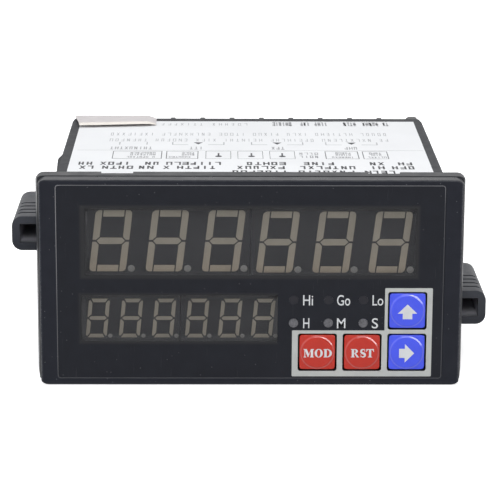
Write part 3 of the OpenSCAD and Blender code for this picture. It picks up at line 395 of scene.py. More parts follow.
def clip_touch(tree, tint, roughness):
    """A side clip, painted paler towards its top as a painted highlight, with painted light in its hollow.
    """
    x, y, z = places(tree)
    level = calc(tree, "MULTIPLY_ADD", calc(tree, "SIGN", x), CLIP_HOLLOW["z"], z)
    # painted highlight: paler towards the top of the clip
    tint = blend_colour(tree, spread(tree, level, -3.0, 4.5, 0.0, 0.021), tint, CLIP_TOP_HIGHLIGHT_TONE)
    (low, high), half, front, fade = (CLIP_HOLLOW[key] for key in ("x", "half", "front", "fade"))
    # the hollow is painted paler: painted light that lifts its deep shade
    hollow = times(tree, inside(tree, calc(tree, "ABSOLUTE", x), low, high, 0.02),
                   inside(tree, level, -half, half, 0.02))
    hollow = times(tree, hollow, spread(tree, y, front, front + fade))
    return blend_colour(tree, hollow, tint, HOLLOW_PAINTED_LIGHT_TONE), roughness


def cut_edge_touch(tree, tint, roughness):
    """The film's edge catches most light at the top and on the left."""
    x, _, z = places(tree)
    top = times(tree, spread(tree, z, 18.0, 22.6, smooth=True), 0.3)
    left = times(tree, spread(tree, x, -43.4, -41.0, 1.0, 0.0, smooth=True),
                 spread(tree, z, -22.0, 16.0, 0.06, 0.6))
    return blend_colour(tree, calc(tree, "MAXIMUM", top, left), tint, CUT_EDGE_HIGHLIGHT_TONE), roughness


def scratch_touch(tree, tint, roughness):
    """One short pale streak near the large pane's left end."""
    x, _, z = places(tree)
    mark = times(tree, inside(tree, x, *PANE_STREAK["x"], 0.05), inside(tree, z, *PANE_STREAK["z"], 0.5))
    return blend_colour(tree, times(tree, mark, 0.5), tint, PANE_STREAK_TONE), roughness


def board_touch(tree, tint, roughness):
    """The board is masked grey behind the windows."""
    for pane in (MAIN_PANE, PRESET_PANE):
        tint = blend_colour(tree, pane_border(tree, pane, 1.0, 1.1), BOARD_MASK_TONE, tint)
    return tint, roughness


def face_touch(tree, tint, roughness):
    """Display faces painted paler towards the edges of the windows and beside the seam between two of them:
    painted light that lifts the shade there.
    """
    for pane in (MAIN_PANE, PRESET_PANE):
        x, _, z = places(tree)
        seam, reach = pane["seam"], pane["high"] / 2 + 1.4
        row = inside(tree, z, pane["z"] - reach, pane["z"] + reach, 0.02)
        # painted light near the window edges, where the faces sit in shade
        rim = times(tree, pane_border(tree, pane, -2.1, 0.2), row)
        tint = blend_colour(tree, rim, tint, FACE_RIM_PAINTED_LIGHT_TONE)
        # painted light beside the seam, where the gap would read dark
        gap = times(tree, inside(tree, x, seam - 0.055, seam + 0.055, 0.004), row)
        tint = blend_colour(tree, gap, tint, SEAM_PAINTED_LIGHT_TONE)
    return tint, roughness


def key_touch(tree, tint, roughness):
    """A faint painted highlight: a pale ring on the slope of each round pad."""
    x, _, z = places(tree)
    masks = []
    for centre in KEYS.values():
        off_x, off_z = (calc(tree, "SUBTRACT", value, middle) for value, middle in zip((x, z), centre))
        reach = calc(tree, "SQRT", calc(tree, "ADD", times(tree, off_x, off_x), times(tree, off_z, off_z)))
        masks.append(inside(tree, reach, *KEY_HIGHLIGHT_RING, 0.16))
    ring = calc(tree, "MAXIMUM", calc(tree, "MAXIMUM", *masks[:2]), calc(tree, "MAXIMUM", *masks[2:]))
    return blend_colour(tree, times(tree, ring, 0.055), tint, KEY_HIGHLIGHT_TONE), roughness


def digit_touch(tree, tint, roughness):
    """Large digits that are warmer towards their feet, greyer decimal points and darker small digits."""
    x, _, z = places(tree)
    large = spread(tree, z, *LARGE_DIGITS)
    warm = times(tree, large, spread(tree, z, *WARM_DIGITS, 0.083, 0.0))
    tint = blend_colour(tree, warm, tint, WARM_TONE)
    masks = []
    for start, pitch, reach, low, high in POINTS:
        off = calc(tree, "PINGPONG", calc(tree, "SUBTRACT", x, start), pitch / 2)
        near = spread(tree, off, reach, reach + 0.05, 1.0, 0.0)
        masks.append(times(tree, near, inside(tree, z, low, high, 0.02)))
    tint = blend_colour(tree, calc(tree, "MAXIMUM", *masks), tint, POINT_TONE)
    return blend_colour(tree, spread(tree, large, 0.0, 1.0, 0.1, 0.0), tint, NO_LIGHT), roughness


def print_finish(name, pane):
    """Film print round a window, partly print and partly painted light: the lit tone of the pane over its
    shaded border, turning to black further out.
    """
    def tone(tree, tint, roughness):
        lit = {**pane, "x": pane["x"] - 0.25, "wide": pane["wide"] - 0.5}
        # the lit tone of the pane, laid as painted light over the pane's shaded border
        black = pane_border(tree, lit, -0.25, 0.6)
        return blend_colour(tree, black, PRINT_AND_PAINTED_LIGHT_TONE, tint), roughness

    return finish_material(name, **FILM_LOOK, touch=tone)


# Finishes

BEZEL = finish_material("bezel_black", (0.0114, 0.0125, 0.0176), (0.0142, 0.0154, 0.0212), (0.42, 0.52),
                        grain=5.0, grain_depth=0.010, dust=0.08, specks=0.14, specular=0.085,
                        touch=bezel_touch)
FILM_LOOK = {"colour": (0.0040, 0.0048, 0.0084), "shade": (0.0060, 0.0070, 0.0112), "rough": (0.34, 0.44),
             "grain": 7.0, "grain_depth": 0.002, "specks": 0.10, "hairlines": 0.03, "specular": 0.145}
FILM_BLACK = finish_material("film_black", **FILM_LOOK)
MAIN_PRINT = print_finish("main_window_print", MAIN_PANE)
PRESET_PRINT = print_finish("preset_window_print", PRESET_PANE)
SMOKE = finish_material("smoked_pane", (0.012, 0.012, 0.013), (0.014, 0.014, 0.015), (0.24, 0.30),
                        grain=3.0, grain_depth=0.0005, specks=0.10, hairlines=0.05, specular=0.16,
                        touch=scratch_touch, alpha=0.2)
FIELD_GREY = finish_material("field_grey", (0.415, 0.425, 0.41), (0.38, 0.39, 0.375), (0.45, 0.55),
                             grain=7.0, grain_depth=0.003, mottle=0.4, specular=0.3)
PALE_INK = finish_material("pale_ink", (0.60, 0.61, 0.62), (0.53, 0.54, 0.55), (0.45, 0.55),
                           grain=8.0, grain_depth=0.002, specular=0.3)
# painted highlight of the film's cut edge
EDGE_HIGHLIGHT = finish_material("film_cut_edge", (0.045, 0.046, 0.052), (0.030, 0.031, 0.036), (0.35, 0.5),
                            grain=6.0, grain_depth=0.002, mottle=0.12, specular=0.3, touch=cut_edge_touch)
KEY_LOOK = {"rough": (0.18, 0.22), "grain": 5.0, "grain_depth": 0.001, "mottle": 0.5, "specular": 0.25,
            "touch": key_touch}
KEY_BLUE = finish_material("key_blue", (0.055, 0.085, 0.715), (0.050, 0.078, 0.67), **KEY_LOOK)
KEY_RED = finish_material("key_red", (0.437, 0.0222, 0.0105), (0.41, 0.020, 0.0095), **KEY_LOOK)
RESIN = finish_material("segment_resin", (0.415, 0.376, 0.310), (0.368, 0.333, 0.275), (0.45, 0.55),
                        grain=3.0, grain_depth=0.001, mottle=0.3, specular=0.3, touch=digit_touch)
FACE_GREY = finish_material("display_face", (0.066, 0.066, 0.071), (0.058, 0.058, 0.063), (0.5, 0.6),
                            grain=6.0, grain_depth=0.001, specular=0.2, touch=face_touch)
LENS_RESIN = finish_material("lamp_resin", (0.30, 0.30, 0.31), (0.36, 0.36, 0.37), (0.35, 0.45), grain=3.0)
DOT_DARK = finish_material("lamp_dot_dark", (0.0135, 0.0130, 0.0175), (0.0100, 0.0100, 0.0140), (0.34, 0.44),
                           grain=4.0, grain_depth=0.002, mottle=1.0, specular=0.18)
DOT_PALE = finish_material("lamp_dot_pale", (0.055, 0.055, 0.061), (0.125, 0.123, 0.134), (0.35, 0.5),
                           grain=3.0, grain_depth=0.006, mottle=2.4, specular=0.3)
CASE_BLACK = finish_material("case_black", (0.0135, 0.0145, 0.0185), (0.019, 0.0205, 0.025), (0.42, 0.55),
                             grain=4.0, grain_depth=0.012, dust=0.07, specks=0.12, specular=0.3,
                             touch=case_touch)
CLIP_BLACK = finish_material("clip_black", (0.0065, 0.0080, 0.0128), (0.0122, 0.0140, 0.0208), (0.45, 0.58),
                             grain=4.0, grain_depth=0.010, dust=0.13, specks=0.15, specular=0.24,
                             touch=clip_touch)
TERMINAL_BLACK = finish_material("terminal_black", (0.014, 0.014, 0.015), (0.022, 0.022, 0.023),
                                 (0.40, 0.52), grain=4.5, grain_depth=0.008, dust=0.12, specular=0.4)
SCREW_STEEL = finish_material("screw_zinc", (0.62, 0.62, 0.60), (0.50, 0.50, 0.48), (0.28, 0.42),
                              grain=3.0, grain_depth=0.004, mottle=0.9, metallic=1.0)
CLAMP_STEEL = finish_material("clamp_nickel", (0.66, 0.63, 0.56), (0.55, 0.52, 0.45), (0.25, 0.4),
                              grain=3.0, grain_depth=0.003, mottle=0.8, metallic=1.0)
BOARD_GREEN = finish_material("board_green", (0.016, 0.11, 0.05), (0.012, 0.09, 0.04), (0.30, 0.42),
                              grain=4.0, grain_depth=0.004, touch=board_touch)
SWITCH_BLACK = finish_material("switch_black", (0.016, 0.016, 0.017), (0.022, 0.022, 0.023), (0.4, 0.5))
FERRITE = finish_material("ferrite", (0.05, 0.05, 0.053), (0.075, 0.074, 0.076), (0.55, 0.7),
                          grain=2.0, grain_depth=0.01)
COIL_TAPE = finish_material("coil_tape", (0.62, 0.44, 0.06), (0.52, 0.36, 0.05), (0.35, 0.5), grain=2.0)
RELAY_SHELL = finish_material("relay_shell", (0.70, 0.68, 0.62), (0.62, 0.60, 0.54), (0.3, 0.4))
SLEEVE = finish_material("capacitor_sleeve", (0.03, 0.05, 0.12), (0.02, 0.035, 0.09), (0.25, 0.35))
CHIP_EPOXY = finish_material("chip_epoxy", (0.014, 0.014, 0.015), (0.02, 0.02, 0.021), (0.5, 0.6), grain=6.0)
MATTE = {"rough": (0.88, 0.96), "specular": 0.04}
LABEL_PAPER = finish_material("label_paper", (0.80, 0.805, 0.815), (0.76, 0.765, 0.775), **MATTE,
                              grain=6.0, grain_depth=0.003, mottle=0.06)
LABEL_INK = finish_material("label_ink", (0.10, 0.10, 0.105), (0.16, 0.16, 0.165), **MATTE, grain=8.0)
LABEL_GREY = finish_material("label_grey", (0.37, 0.37, 0.385), (0.46, 0.46, 0.47), **MATTE, grain=8.0)
SEAL_PAPER = finish_material("seal_paper", (0.655, 0.62, 0.615), (0.59, 0.56, 0.56), **MATTE,
                             grain=4.0, grain_depth=0.008, mottle=0.3)
SEAL_LIP = finish_material("seal_lip", (0.79, 0.745, 0.69), (0.74, 0.70, 0.65), **MATTE,
                           grain=4.0, grain_depth=0.006, mottle=0.3)

FINISH_OF_SLOT = {
    "bezel_plastic": BEZEL, "overlay_film": FILM_BLACK, "smoked_window": SMOKE, "key_blue": KEY_BLUE,
    "key_red": KEY_RED, "switch_plastic": SWITCH_BLACK, "display_face": FACE_GREY, "segment_resin": RESIN,
    "lamp_resin": LENS_RESIN, "circuit_board": BOARD_GREEN, "screw_steel": SCREW_STEEL,
    "clamp_steel": CLAMP_STEEL, "link_plastic": SWITCH_BLACK, "ferrite": FERRITE, "coil_tape": COIL_TAPE,
    "relay_plastic": RELAY_SHELL, "capacitor_sleeve": SLEEVE, "chip_epoxy": CHIP_EPOXY,
    "case_plastic": CASE_BLACK, "terminal_plastic": TERMINAL_BLACK, "clip_plastic": CLIP_BLACK,
    "label_paper": LABEL_PAPER, "seal_paper": SEAL_PAPER,
}
for part in frame["record"]["subparts"]:
    for slot in nodes[part["node"]].material_slots:
        slot.material = FINISH_OF_SLOT[part["material_slot"]]


# Mesh helpers

def finished(built, name):
    """Mesh of a bmesh, which is freed."""
    mesh = bpy.data.meshes.new(name)
    built.to_mesh(mesh)
    built.free()
    return mesh


def add_object(name, data):
    """New object in the scene."""
    made = bpy.data.objects.new(name, data)
    bpy.context.scene.collection.objects.link(made)
    return made


def evaluated(holder):
    """Plain mesh of an object as it shows; the object is removed."""
    mesh = bpy.data.meshes.new_from_object(holder.evaluated_get(bpy.context.evaluated_depsgraph_get()))
    bpy.data.objects.remove(holder)
    return mesh


def to_mesh(data):
    """Plain mesh of a curve or text."""
    mesh = evaluated(add_object("holder", data))
    bpy.data.curves.remove(data)
    return mesh


def drawing(loops, thick=INK):
    """Thin solid of a flat outline with holes, from z 0 to thick, in millimetres."""
    curve = bpy.data.curves.new("outline", "CURVE")
    curve.dimensions = "2D"
    curve.fill_mode = "BOTH"
    curve.extrude = thick / 2
    for loop in loops:
        line = curve.splines.new("POLY")
        line.points.add(len(loop) - 1)
        for point, (x, y) in zip(line.points, loop):
            point.co = (x, y, 0, 1)
        line.use_cyclic_u = True
    mesh = to_mesh(curve)
    mesh.transform(Matrix.Translation((0, 0, thick / 2)))
    return mesh


def slab(loop):
    """Ink of one plain outline, in millimetres."""
    built = bmesh.new()
    low = [built.verts.new((x, y, 0.0)) for x, y in loop]
    high = [built.verts.new((x, y, INK)) for x, y in loop]
    built.faces.new(low[::-1])
    built.faces.new(high)
    for i in range(len(loop)):
        k = (i + 1) % len(loop)
        built.faces.new((low[i], low[k], high[k], high[i]))
    bmesh.ops.recalc_face_normals(built, faces=built.faces)
    return finished(built, "slab")


def lettering(body, box, heavy):
    """Ink of plain lettering that fills box = (x0, y0, x1, y1); heavy thickens its strokes."""
    text = bpy.data.curves.new("lettering", "FONT")
    text.body = body
    text.extrude = 0.01
    text.offset = heavy
    mesh = to_mesh(text)
    low = Vector((min(v.co[i] for v in mesh.vertices) for i in range(3)))
    high = Vector((max(v.co[i] for v in mesh.vertices) for i in range(3)))
    size = high - low
    x0, y0, x1, y1 = box
    fit = Matrix.Diagonal(((x1 - x0) / size.x, (y1 - y0) / size.y, INK / size.z, 1))
    mesh.transform(Matrix.Translation((x0, y0, 0)) @ fit @ Matrix.Translation(-low))
    return mesh


def piece(name, meshes, place, body, slot, *materials):
    """One object from drawings laid by place, in metres, riding on body."""
    built = bmesh.new()
    for mesh in meshes:
        mesh.transform(place)
        built.from_mesh(mesh)
        bpy.data.meshes.remove(mesh)
    for vertex in built.verts:
        vertex.co *= MM
    return show(name, finished(built, name), body, slot, *materials)


def show(name, mesh, body, slot, *materials):
    """Object of a mesh, riding on body; with no materials given, the mesh keeps its own."""
    if materials:
        mesh.materials.clear()
    for material in materials:
        mesh.materials.append(material)
    made = add_object(name, mesh)
    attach(made, body)
    return made


def arc(cx, cy, rx, ry, start, end, count=8):
    """Points of an elliptical arc; start and end are in degrees."""
    angles = [math.radians(start + (end - start) * i / count) for i in range(count + 1)]
    return [(cx + rx * math.cos(a), cy + ry * math.sin(a)) for a in angles]


def round_box(x0, y0, x1, y1, r):
    """Outline of a rectangle with corners of radius r."""
    return (arc(x1 - r, y1 - r, r, r, 0, 90) + arc(x0 + r, y1 - r, r, r, 90, 180)
            + arc(x0 + r, y0 + r, r, r, 180, 270) + arc(x1 - r, y0 + r, r, r, 270, 360))


def box_loop(x0, y0, x1, y1):
    """Outline of a plain rectangle."""
    return [(x0, y0), (x1, y0), (x1, y1), (x0, y1)]


# Front prints

def key_field():
    """Grey field round the keys, with an opening at each key."""
    f, r = FIELD, FIELD["corner"]
    outline = (arc(f["right"] - r, f["top"] - r, r, r, 0, 90)
               + arc(f["column_left"] + r, f["top"] - r, r, r, 90, 180)
               + [(f["column_left"], f["strip_top"])]
               + arc(f["left"] + r, f["strip_top"] - r, r, r, 90, 180)
               + arc(f["left"] + r, f["bottom"] + r, r, r, 180, 270)
               + arc(f["right"] - r, f["bottom"] + r, r, r, 270, 360))
    h = KEY_HOLE / 2
    openings = [round_box(x - h, z - h, x + h, z + h, 0.6) for x, z in KEYS.values()]
    piece("key_field", [drawing([outline, *openings])], ON_FRONT, "case", "overlay_film", FIELD_GREY)


def film_edge():
    """Cut edge of the film, drawn as a thin pale line: a painted highlight where the edge catches light."""
    (x0, x1), (z0, z1), r = FILM["x"], FILM["z"], FILM["corner"]
    w = FILM_LINE
    loops = [round_box(x0, z0, x1, z1, r), round_box(x0 + w, z0 + w, x1 - w, z1 - w, r - w)]
    piece("film_edge", [drawing(loops)], ON_FRONT, "case", "overlay_film", EDGE_HIGHLIGHT)


def window_prints():
    """Print of the film that fades out towards each pane; over the pane's shaded border it is painted light.
    """
    for name, pane, finish, inner in (("main_window_print", MAIN_PANE, MAIN_PRINT, MAIN_INNER),
                                      ("preset_window_print", PRESET_PANE, PRESET_PRINT, PRESET_INNER)):
        half, tall = pane["wide"] / 2, pane["high"] / 2
        loops = [round_box(pane["x"] - half - left, pane["z"] - tall - foot, pane["x"] + half + right,
                           pane["z"] + tall + head, corner)
                 for left, foot, right, head, corner in (PRINT_OUTER, inner)]
        piece(name, [drawing(loops, INK / 2)], ON_FRONT, "case", "overlay_film", finish)


def legends():
    """Words beside the lamps, each with the box it fills."""
    words = {
        "Hi": (11.87, -5.05, 14.11, -2.66), "Go": (19.55, -5.08, 22.53, -2.63),
        "Lo": (27.56, -5.08, 30.0, -2.66), "H": (11.93, -10.43, 13.33, -8.09),
        "M": (19.59, -10.43, 21.5, -8.09), "S": (27.5, -10.46, 28.9, -8.06),
    }
    meshes = [lettering(word, box, heavy=0.004) for word, box in words.items()]
    piece("legends", meshes, ON_FRONT, "case", "overlay_film", PALE_INK)


def lamp_dots():
    """Clear dots of the film in front of the lamps: the upper ones read dark, the lower ones grey."""
    radius, thick = LAMP_DOT["radius"], LAMP_DOT["thick"]
    flush = ON_FRONT @ Matrix.Translation((0, 0, -thick))
    for row, z, finish in zip(("upper", "lower"), LAMP_ROWS, (DOT_DARK, DOT_PALE)):
        discs = [drawing([arc(x, z, radius, radius, 0, 350, 35)], thick) for x in LAMP_X]
        piece(f"{row}_lamp_dots", discs, flush, "case", "overlay_film", finish)


# Serif capitals for the keys, one unit high

def stroke(points, widths):
    """Closed outline of a line of varying width."""
    left, right = [], []
    for i, (x, y) in enumerate(points):
        x0, y0 = points[max(i - 1, 0)]
        x1, y1 = points[min(i + 1, len(points) - 1)]
        length = math.hypot(x1 - x0, y1 - y0)
        nx, ny = -(y1 - y0) / length, (x1 - x0) / length
        half = widths[i] / 2
        left.append((x + nx * half, y + ny * half))
        right.append((x - nx * half, y - ny * half))
    return left + right[::-1]


def letter_s():
    """Outlines of the capital S: its bow and two serifs."""
    upper = arc(0.37, 0.73, 0.235, 0.22, 35, 230, 12)
    lower = arc(0.35, 0.27, 0.25, 0.22, 50, -145, 12)
    line = upper + lower
    widths = [0.08 + 0.17 * math.sin(math.pi * i / (len(line) - 1)) ** 1.3 for i in range(len(line))]
    top_serif = [(0.56, 1.0), (0.60, 1.0), (0.60, 0.66), (0.55, 0.66)]
    foot_serif = [(0.12, 0.0), (0.08, 0.0), (0.08, 0.36), (0.13, 0.36)]
    return [[stroke(line, widths)], [top_serif], [foot_serif]]


STEM = [(0, 0), (0, .06), (.1, .1), (.1, .9), (0, .94), (0, 1)]
CAPITALS = {
    "M": (1.2, [[STEM + [(.36, 1), (.62, .38), (.86, 1), (1.2, 1), (1.2, .94), (1.1, .9), (1.1, .1),
                         (1.2, .06), (1.2, 0), (.74, 0), (.74, .06), (.84, .1), (.84, .80), (.54, .03),
                         (.49, .03), (.19, .78), (.19, .1), (.3, .06), (.3, 0)]]]),
    "O": (0.94, [[arc(.47, .5, .47, .52, 0, 345, 23), arc(.47, .5, .21, .45, 0, 345, 23)]]),
    "D": (0.98, [[STEM + arc(.42, .5, .56, .5, 90, -90, 16),
                  [(.37, .92)] + arc(.42, .5, .28, .42, 90, -90, 12) + [(.37, .08)]]]),
    "R": (0.98, [[STEM + arc(.48, .74, .34, .26, 90, -70, 10)
                  + [(.88, .1), (.98, .06), (.98, 0), (.70, 0), (.42, .45), (.37, .45), (.37, .1),
                     (.47, .06), (.47, 0)],
                  [(.37, .92)] + arc(.44, .725, .12, .195, 90, -90, 8) + [(.37, .53)]]]),
    "S": (0.66, letter_s()),
    "T": (0.9, [[[(.19, 0), (.19, .06), (.32, .1), (.32, .91), (.26, .91), (.11, .84), (.06, .66), (0, .66),
                  (0, 1), (.9, 1), (.9, .66), (.84, .66), (.79, .84), (.64, .91), (.58, .91), (.58, .1),
                  (.71, .06), (.71, 0)]]]),
}
LETTER_GAP = 0.09


def serif_word(word, box):
    """Serif capitals side by side that fill box = (x0, y0, x1, y1)."""
    x0, y0, x1, y1 = box
    wide = sum(CAPITALS[c][0] for c in word) + LETTER_GAP * (len(word) - 1)
    scale_x, scale_y = (x1 - x0) / wide, y1 - y0
    meshes, at = [], 0.0
    for c in word:
        width, shapes = CAPITALS[c]
        for loops in shapes:
            meshes.append(drawing([[(x0 + (at + x) * scale_x, y0 + y * scale_y) for x, y in loop]
                                   for loop in loops]))
        at += width + LETTER_GAP
    return meshes


def key_marks():
    """Arrows and words on the key pads."""
    pad = Matrix.Translation((0, -KEY_RAISE, 0)) @ ON_FRONT
    arrows = {
        "up": [(35.52, -4.73), (33.34, -6.88), (34.46, -6.88), (34.46, -8.19),
               (36.62, -8.19), (36.62, -6.88), (37.74, -6.88)],
        "right": [(37.22, -16.26), (35.1, -14.08), (35.1, -15.2), (33.8, -15.2),
                  (33.8, -17.36), (35.1, -17.36), (35.1, -18.45)],
    }
    words = {
        "mode": ("MOD", (12.09, -17.23, 18.53, -15.27)),
        "reset": ("RST", (22.85, -17.23, 28.07, -15.27)),
    }
    for key, loop in arrows.items():
        piece(f"arrow_{key}_mark", [drawing([loop])], pad, f"{key}_key", "key_blue", PALE_INK)
    for key, (word, box) in words.items():
        piece(f"{key}_mark", serif_word(word, box), pad, f"{key}_key", "key_red", PALE_INK)


# Keys with a soft round pad

KEY_ANGLES = [2 * math.pi * k / KEY_POINTS for k in range(KEY_POINTS)]


def square_ring(half):
    """Points of a square with round corners."""
    power = 16
    ring = []
    for a in KEY_ANGLES:
        reach = half / (abs(math.cos(a)) ** power + abs(math.sin(a)) ** power) ** (1 / power)
        ring.append((reach * math.cos(a), reach * math.sin(a)))
    return ring


def round_ring(radius):
    """Points of a circle."""
    return [(radius * math.cos(a), radius * math.sin(a)) for a in KEY_ANGLES]


def key_cap(name, centre):
    """Key cap: square skirt with an eased edge, then a round pad on a smooth slope."""
    half = KEY_SIDE / 2
    rings = [(square_ring(half), KEY_BACK_Y - FRONT_Y), (square_ring(half), KEY_EASE)]
    for step in (30, 60, 90):
        a = math.radians(step)
        rings.append((square_ring(half - KEY_EASE * (1 - math.cos(a))), KEY_EASE * (1 - math.sin(a))))
    base, top = KEY_PAD
    for i in range(9):
        t = i / 8
        height = KEY_RAISE * (3 * t * t - 2 * t ** 3) * KEY_RIM
        rings.append((round_ring(base + (top - base) * t), -height))
    for share in (0.66, 0.33):
        height = KEY_RAISE * (KEY_RIM + (1 - KEY_RIM) * (1 - share * share))
        rings.append((round_ring(top * share), -height))
    count = KEY_POINTS
    built = bmesh.new()
    loops = [[built.verts.new(((centre[0] + x) * MM, (FRONT_Y + depth) * MM, (centre[1] + z) * MM))
              for x, z in ring] for ring, depth in rings]
    for low, high in zip(loops, loops[1:]):
        for k in range(count):
            built.faces.new((low[k], low[(k + 1) % count], high[(k + 1) % count], high[k]))
    tip = built.verts.new((centre[0] * MM, (FRONT_Y - KEY_RAISE) * MM, centre[1] * MM))
    for k in range(count):
        built.faces.new((loops[-1][k], loops[-1][(k + 1) % count], tip))
    built.faces.new(loops[0][::-1])
    bmesh.ops.recalc_face_normals(built, faces=built.faces)
    for face in built.faces:
        face.smooth = len(face.verts) < 5
    return finished(built, name)


def keys():
    """The four key caps, shown in place of their solids."""
    for key, centre in KEYS.items():
        slot = "key_blue" if key in BLUE_KEYS else "key_red"
        name = f"{key}_key_cap"
        cap = show(name, key_cap(name, centre), f"{key}_key", slot, FINISH_OF_SLOT[slot])
        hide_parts(f"key_{key}")


# Label art, read from the rear

def frame_loops(x0, y0, x1, y1, line):
    """Outer and inner outline of a box of thin lines."""
    return [box_loop(x0, y0, x1, y1), box_loop(x0 + line, y0 + line, x1 - line, y1 - line)]


def cell_row_tree():
    """Geometry nodes: a row of printed cells, each a rectangle of thin lines."""
    tree = bpy.data.node_groups.new("cell_row", "GeometryNodeTree")
    kinds = {"Count": "Int", "Pitch": "Float", "Width": "Float", "Height": "Float", "Line": "Float",
             "Start": "Vector", "Finish": "Material"}
    sockets = {}
    for label, kind in kinds.items():
        made = tree.interface.new_socket(label, in_out="INPUT", socket_type=f"NodeSocket{kind}")
        sockets[label] = made.identifier
    tree.interface.new_socket("Geometry", in_out="OUTPUT", socket_type="NodeSocketGeometry")
    given = tree.nodes.new("NodeGroupInput").outputs
    step = put(tree, "ShaderNodeCombineXYZ", X=given["Pitch"])
    row = put(tree, "GeometryNodeMeshLine", Count=given["Count"], Start_Location=given["Start"],
              Offset=step.outputs[0])
    cell = put(tree, "GeometryNodeCurvePrimitiveQuadrilateral", Width=given["Width"], Height=given["Height"])
    bar = put(tree, "GeometryNodeCurvePrimitiveQuadrilateral", Width=given["Line"], Height=INK * MM)
    ring = put(tree, "GeometryNodeCurveToMesh", Curve=cell.outputs[0], Profile_Curve=bar.outputs[0])
    copies = put(tree, "GeometryNodeInstanceOnPoints", Points=row.outputs[0], Instance=ring.outputs[0])
    plain = put(tree, "GeometryNodeRealizeInstances", Geometry=copies.outputs[0])
    inked = put(tree, "GeometryNodeSetMaterial", Geometry=plain.outputs[0], Material=given["Finish"])
    out = tree.nodes.new("NodeGroupOutput")
    tree.links.new(inked.outputs[0], out.inputs[0])
    return tree, sockets


def from_nodes(name, tree, sockets, values, body, slot):
    """Plain mesh piece from a geometry node tree with these input values."""
    holder = add_object(name + "_holder", bpy.data.meshes.new(name + "_holder"))
    modifier = holder.modifiers.new("made", "NODES")
    modifier.node_group = tree
    for label, value in values.items():
        modifier[sockets[label]] = value
    holder.update_tag()
    mesh = evaluated(holder)
    mesh.name = name
    return show(name, mesh, body, slot)


# Strokes of the marks that stand for letters
GLYPHS = (("left", "head", "waist"), ("left", "right", "waist"), ("left", "right", "head", "foot"),
          ("left", "foot"), ("middle", "head"), ("left", "fall", "right"), ("rise", "fall"),
          ("left", "head", "waist", "foot"), ("left", "right", "foot"), ("middle",))

# Rows of print: near and far edge, width, gap and line of a mark, then the ends of each run of marks
FAR_ROWS = (
    (60.2, 64.6, 0.7, 0.14, 0.38, ((6.2, 11.7), (13.2, 16.0), (16.8, 20.5), (24.1, 27.4), (28.9, 32.9),
                                   (34.0, 36.2))),
    (60.6, 63.4, 0.7, 0.9, 0.14, ((-21.6, 2.8),)),
    (48.1, 51.3, 0.7, 0.7, 0.14, ((-33.8, 35.2),)),
    (41.1, 44.2, 0.7, 0.7, 0.14, ((-33.8, 35.2),)),
    (31.8, 34.8, 0.8, 0.35, 0.26, ((-33.3, -22.9), (-14.2, -10.8), (5.4, 8.7), (22.9, 26.6))),
)
SIDE_ROWS = (
    (22.4, 24.8, 0.8, 0.4, 0.24, ((11.9, 17.2),)),
    (26.0, 28.2, 0.8, 0.4, 0.24, ((11.9, 17.2),)),
)
NEAR_ROWS = (
    (14.5, 17.7, 1.4, 0.5, 0.42, ((-39.9, -35.3), (-34.9, -27.0), (-24.4, -21.1), (-19.5, -6.0),
                                  (-0.7, 10.3), (12.6, 22.9), (28.0, 32.7), (34.6, 39.3))),
    (10.2, 13.4, 1.4, 0.5, 0.42, ((-39.5, -35.8), (-34.2, -26.8), (-25.7, -21.5), (-20.1, -18.0),
                                  (-16.9, -6.0), (-3.0, 10.6), (11.6, 25.0), (27.8, 32.4), (32.9, 39.6))),
    (5.6, 8.6, 1.4, 0.5, 0.42, ((-4.1, 34.5),)),
)
# Boxes with words: ends of the box, of its two far words and of its near word
WORD_BOXES = (
    ((-32.4, -20.7), (-28.2, -22.3), (-29.0, -21.8)),
    ((-19.7, -12.1), (-16.0, -13.2), (-19.0, -13.0)),
    ((18.0, 25.9), (20.5, 24.5), (19.5, 25.2)),
    ((26.9, 32.9), (28.5, 32.0), (28.0, 32.3)),
)
BOX_Y = (21.3, 29.7)
BOX_LINE = 0.18
BOX_WORDS = {"far": (26.9, 24.9), "near": 22.3, "high": 1.6, "wide": 0.6, "gap": 0.16, "line": 0.2}
# Contacts: centres, the arrow's tip, foot and half width, and the bars to the leads beside it
CONTACT = {"x": (-12.2, 6.9, 24.9), "tip": 37.6, "foot": 39.9, "half": 1.1, "bar": (2.4, 6.2),
           "bar_y": (37.1, 37.4)}
LEAD = {"half": 0.13, "y": (37.2, 40.2)}
SUPPLY_X = (-31.2, -24.6)
# Switches: centres of the symbols, then their button, its stem and the cells round them
SWITCH_X = (-7.3, 0.5, 7.8)
BUTTON = {"y": 24.0, "radius": 0.8}
STEM_LINE = {"half": 0.2, "y": (24.6, 27.6)}
CELL = {"start": (-7.35, 25.5), "pitch": 7.58, "wide": 5.9, "high": 8.4, "line": 0.16}
RULE = (-41.0, 30.7, 41.7, 30.85)


def glyph(rng, x, y, wide, tall, line):
    """A mark of a few strokes that stands for one printed letter, turned to be read from the rear."""
    right, top = x + wide, y + tall
    bars = {
        "left": box_loop(x, y, x + line, top), "right": box_loop(right - line, y, right, top),
        "middle": box_loop(x + (wide - line) / 2, y, x + (wide + line) / 2, top),
        "foot": box_loop(x, y, right, y + line * 1.6), "head": box_loop(x, top - line * 1.6, right, top),
        "waist": box_loop(x, y + (tall - line) / 2, right, y + tall / 2 + line),
        "rise": [(x, y), (x + line, y), (right, top), (right - line, top)],
        "fall": [(right - line, y), (right, y), (x + line, top), (x, top)],
    }
    return [[(x + right - px, y + top - py) for px, py in bars[name]] for name in rng.choice(GLYPHS)]


def greeked(rng, near, far, wide, gap, line, runs):
    """A row of marks that stands for print, in words of a few marks."""
    loops = []
    for x, end in runs:
        left = rng.randint(4, 9)
        while x < end - wide * 0.8:
            if left:
                loops += glyph(rng, x, near, wide * rng.uniform(0.85, 1.1), far - near, line)
                left -= 1
            else:
                left = rng.randint(4, 9)
            x += wide + gap
    return loops


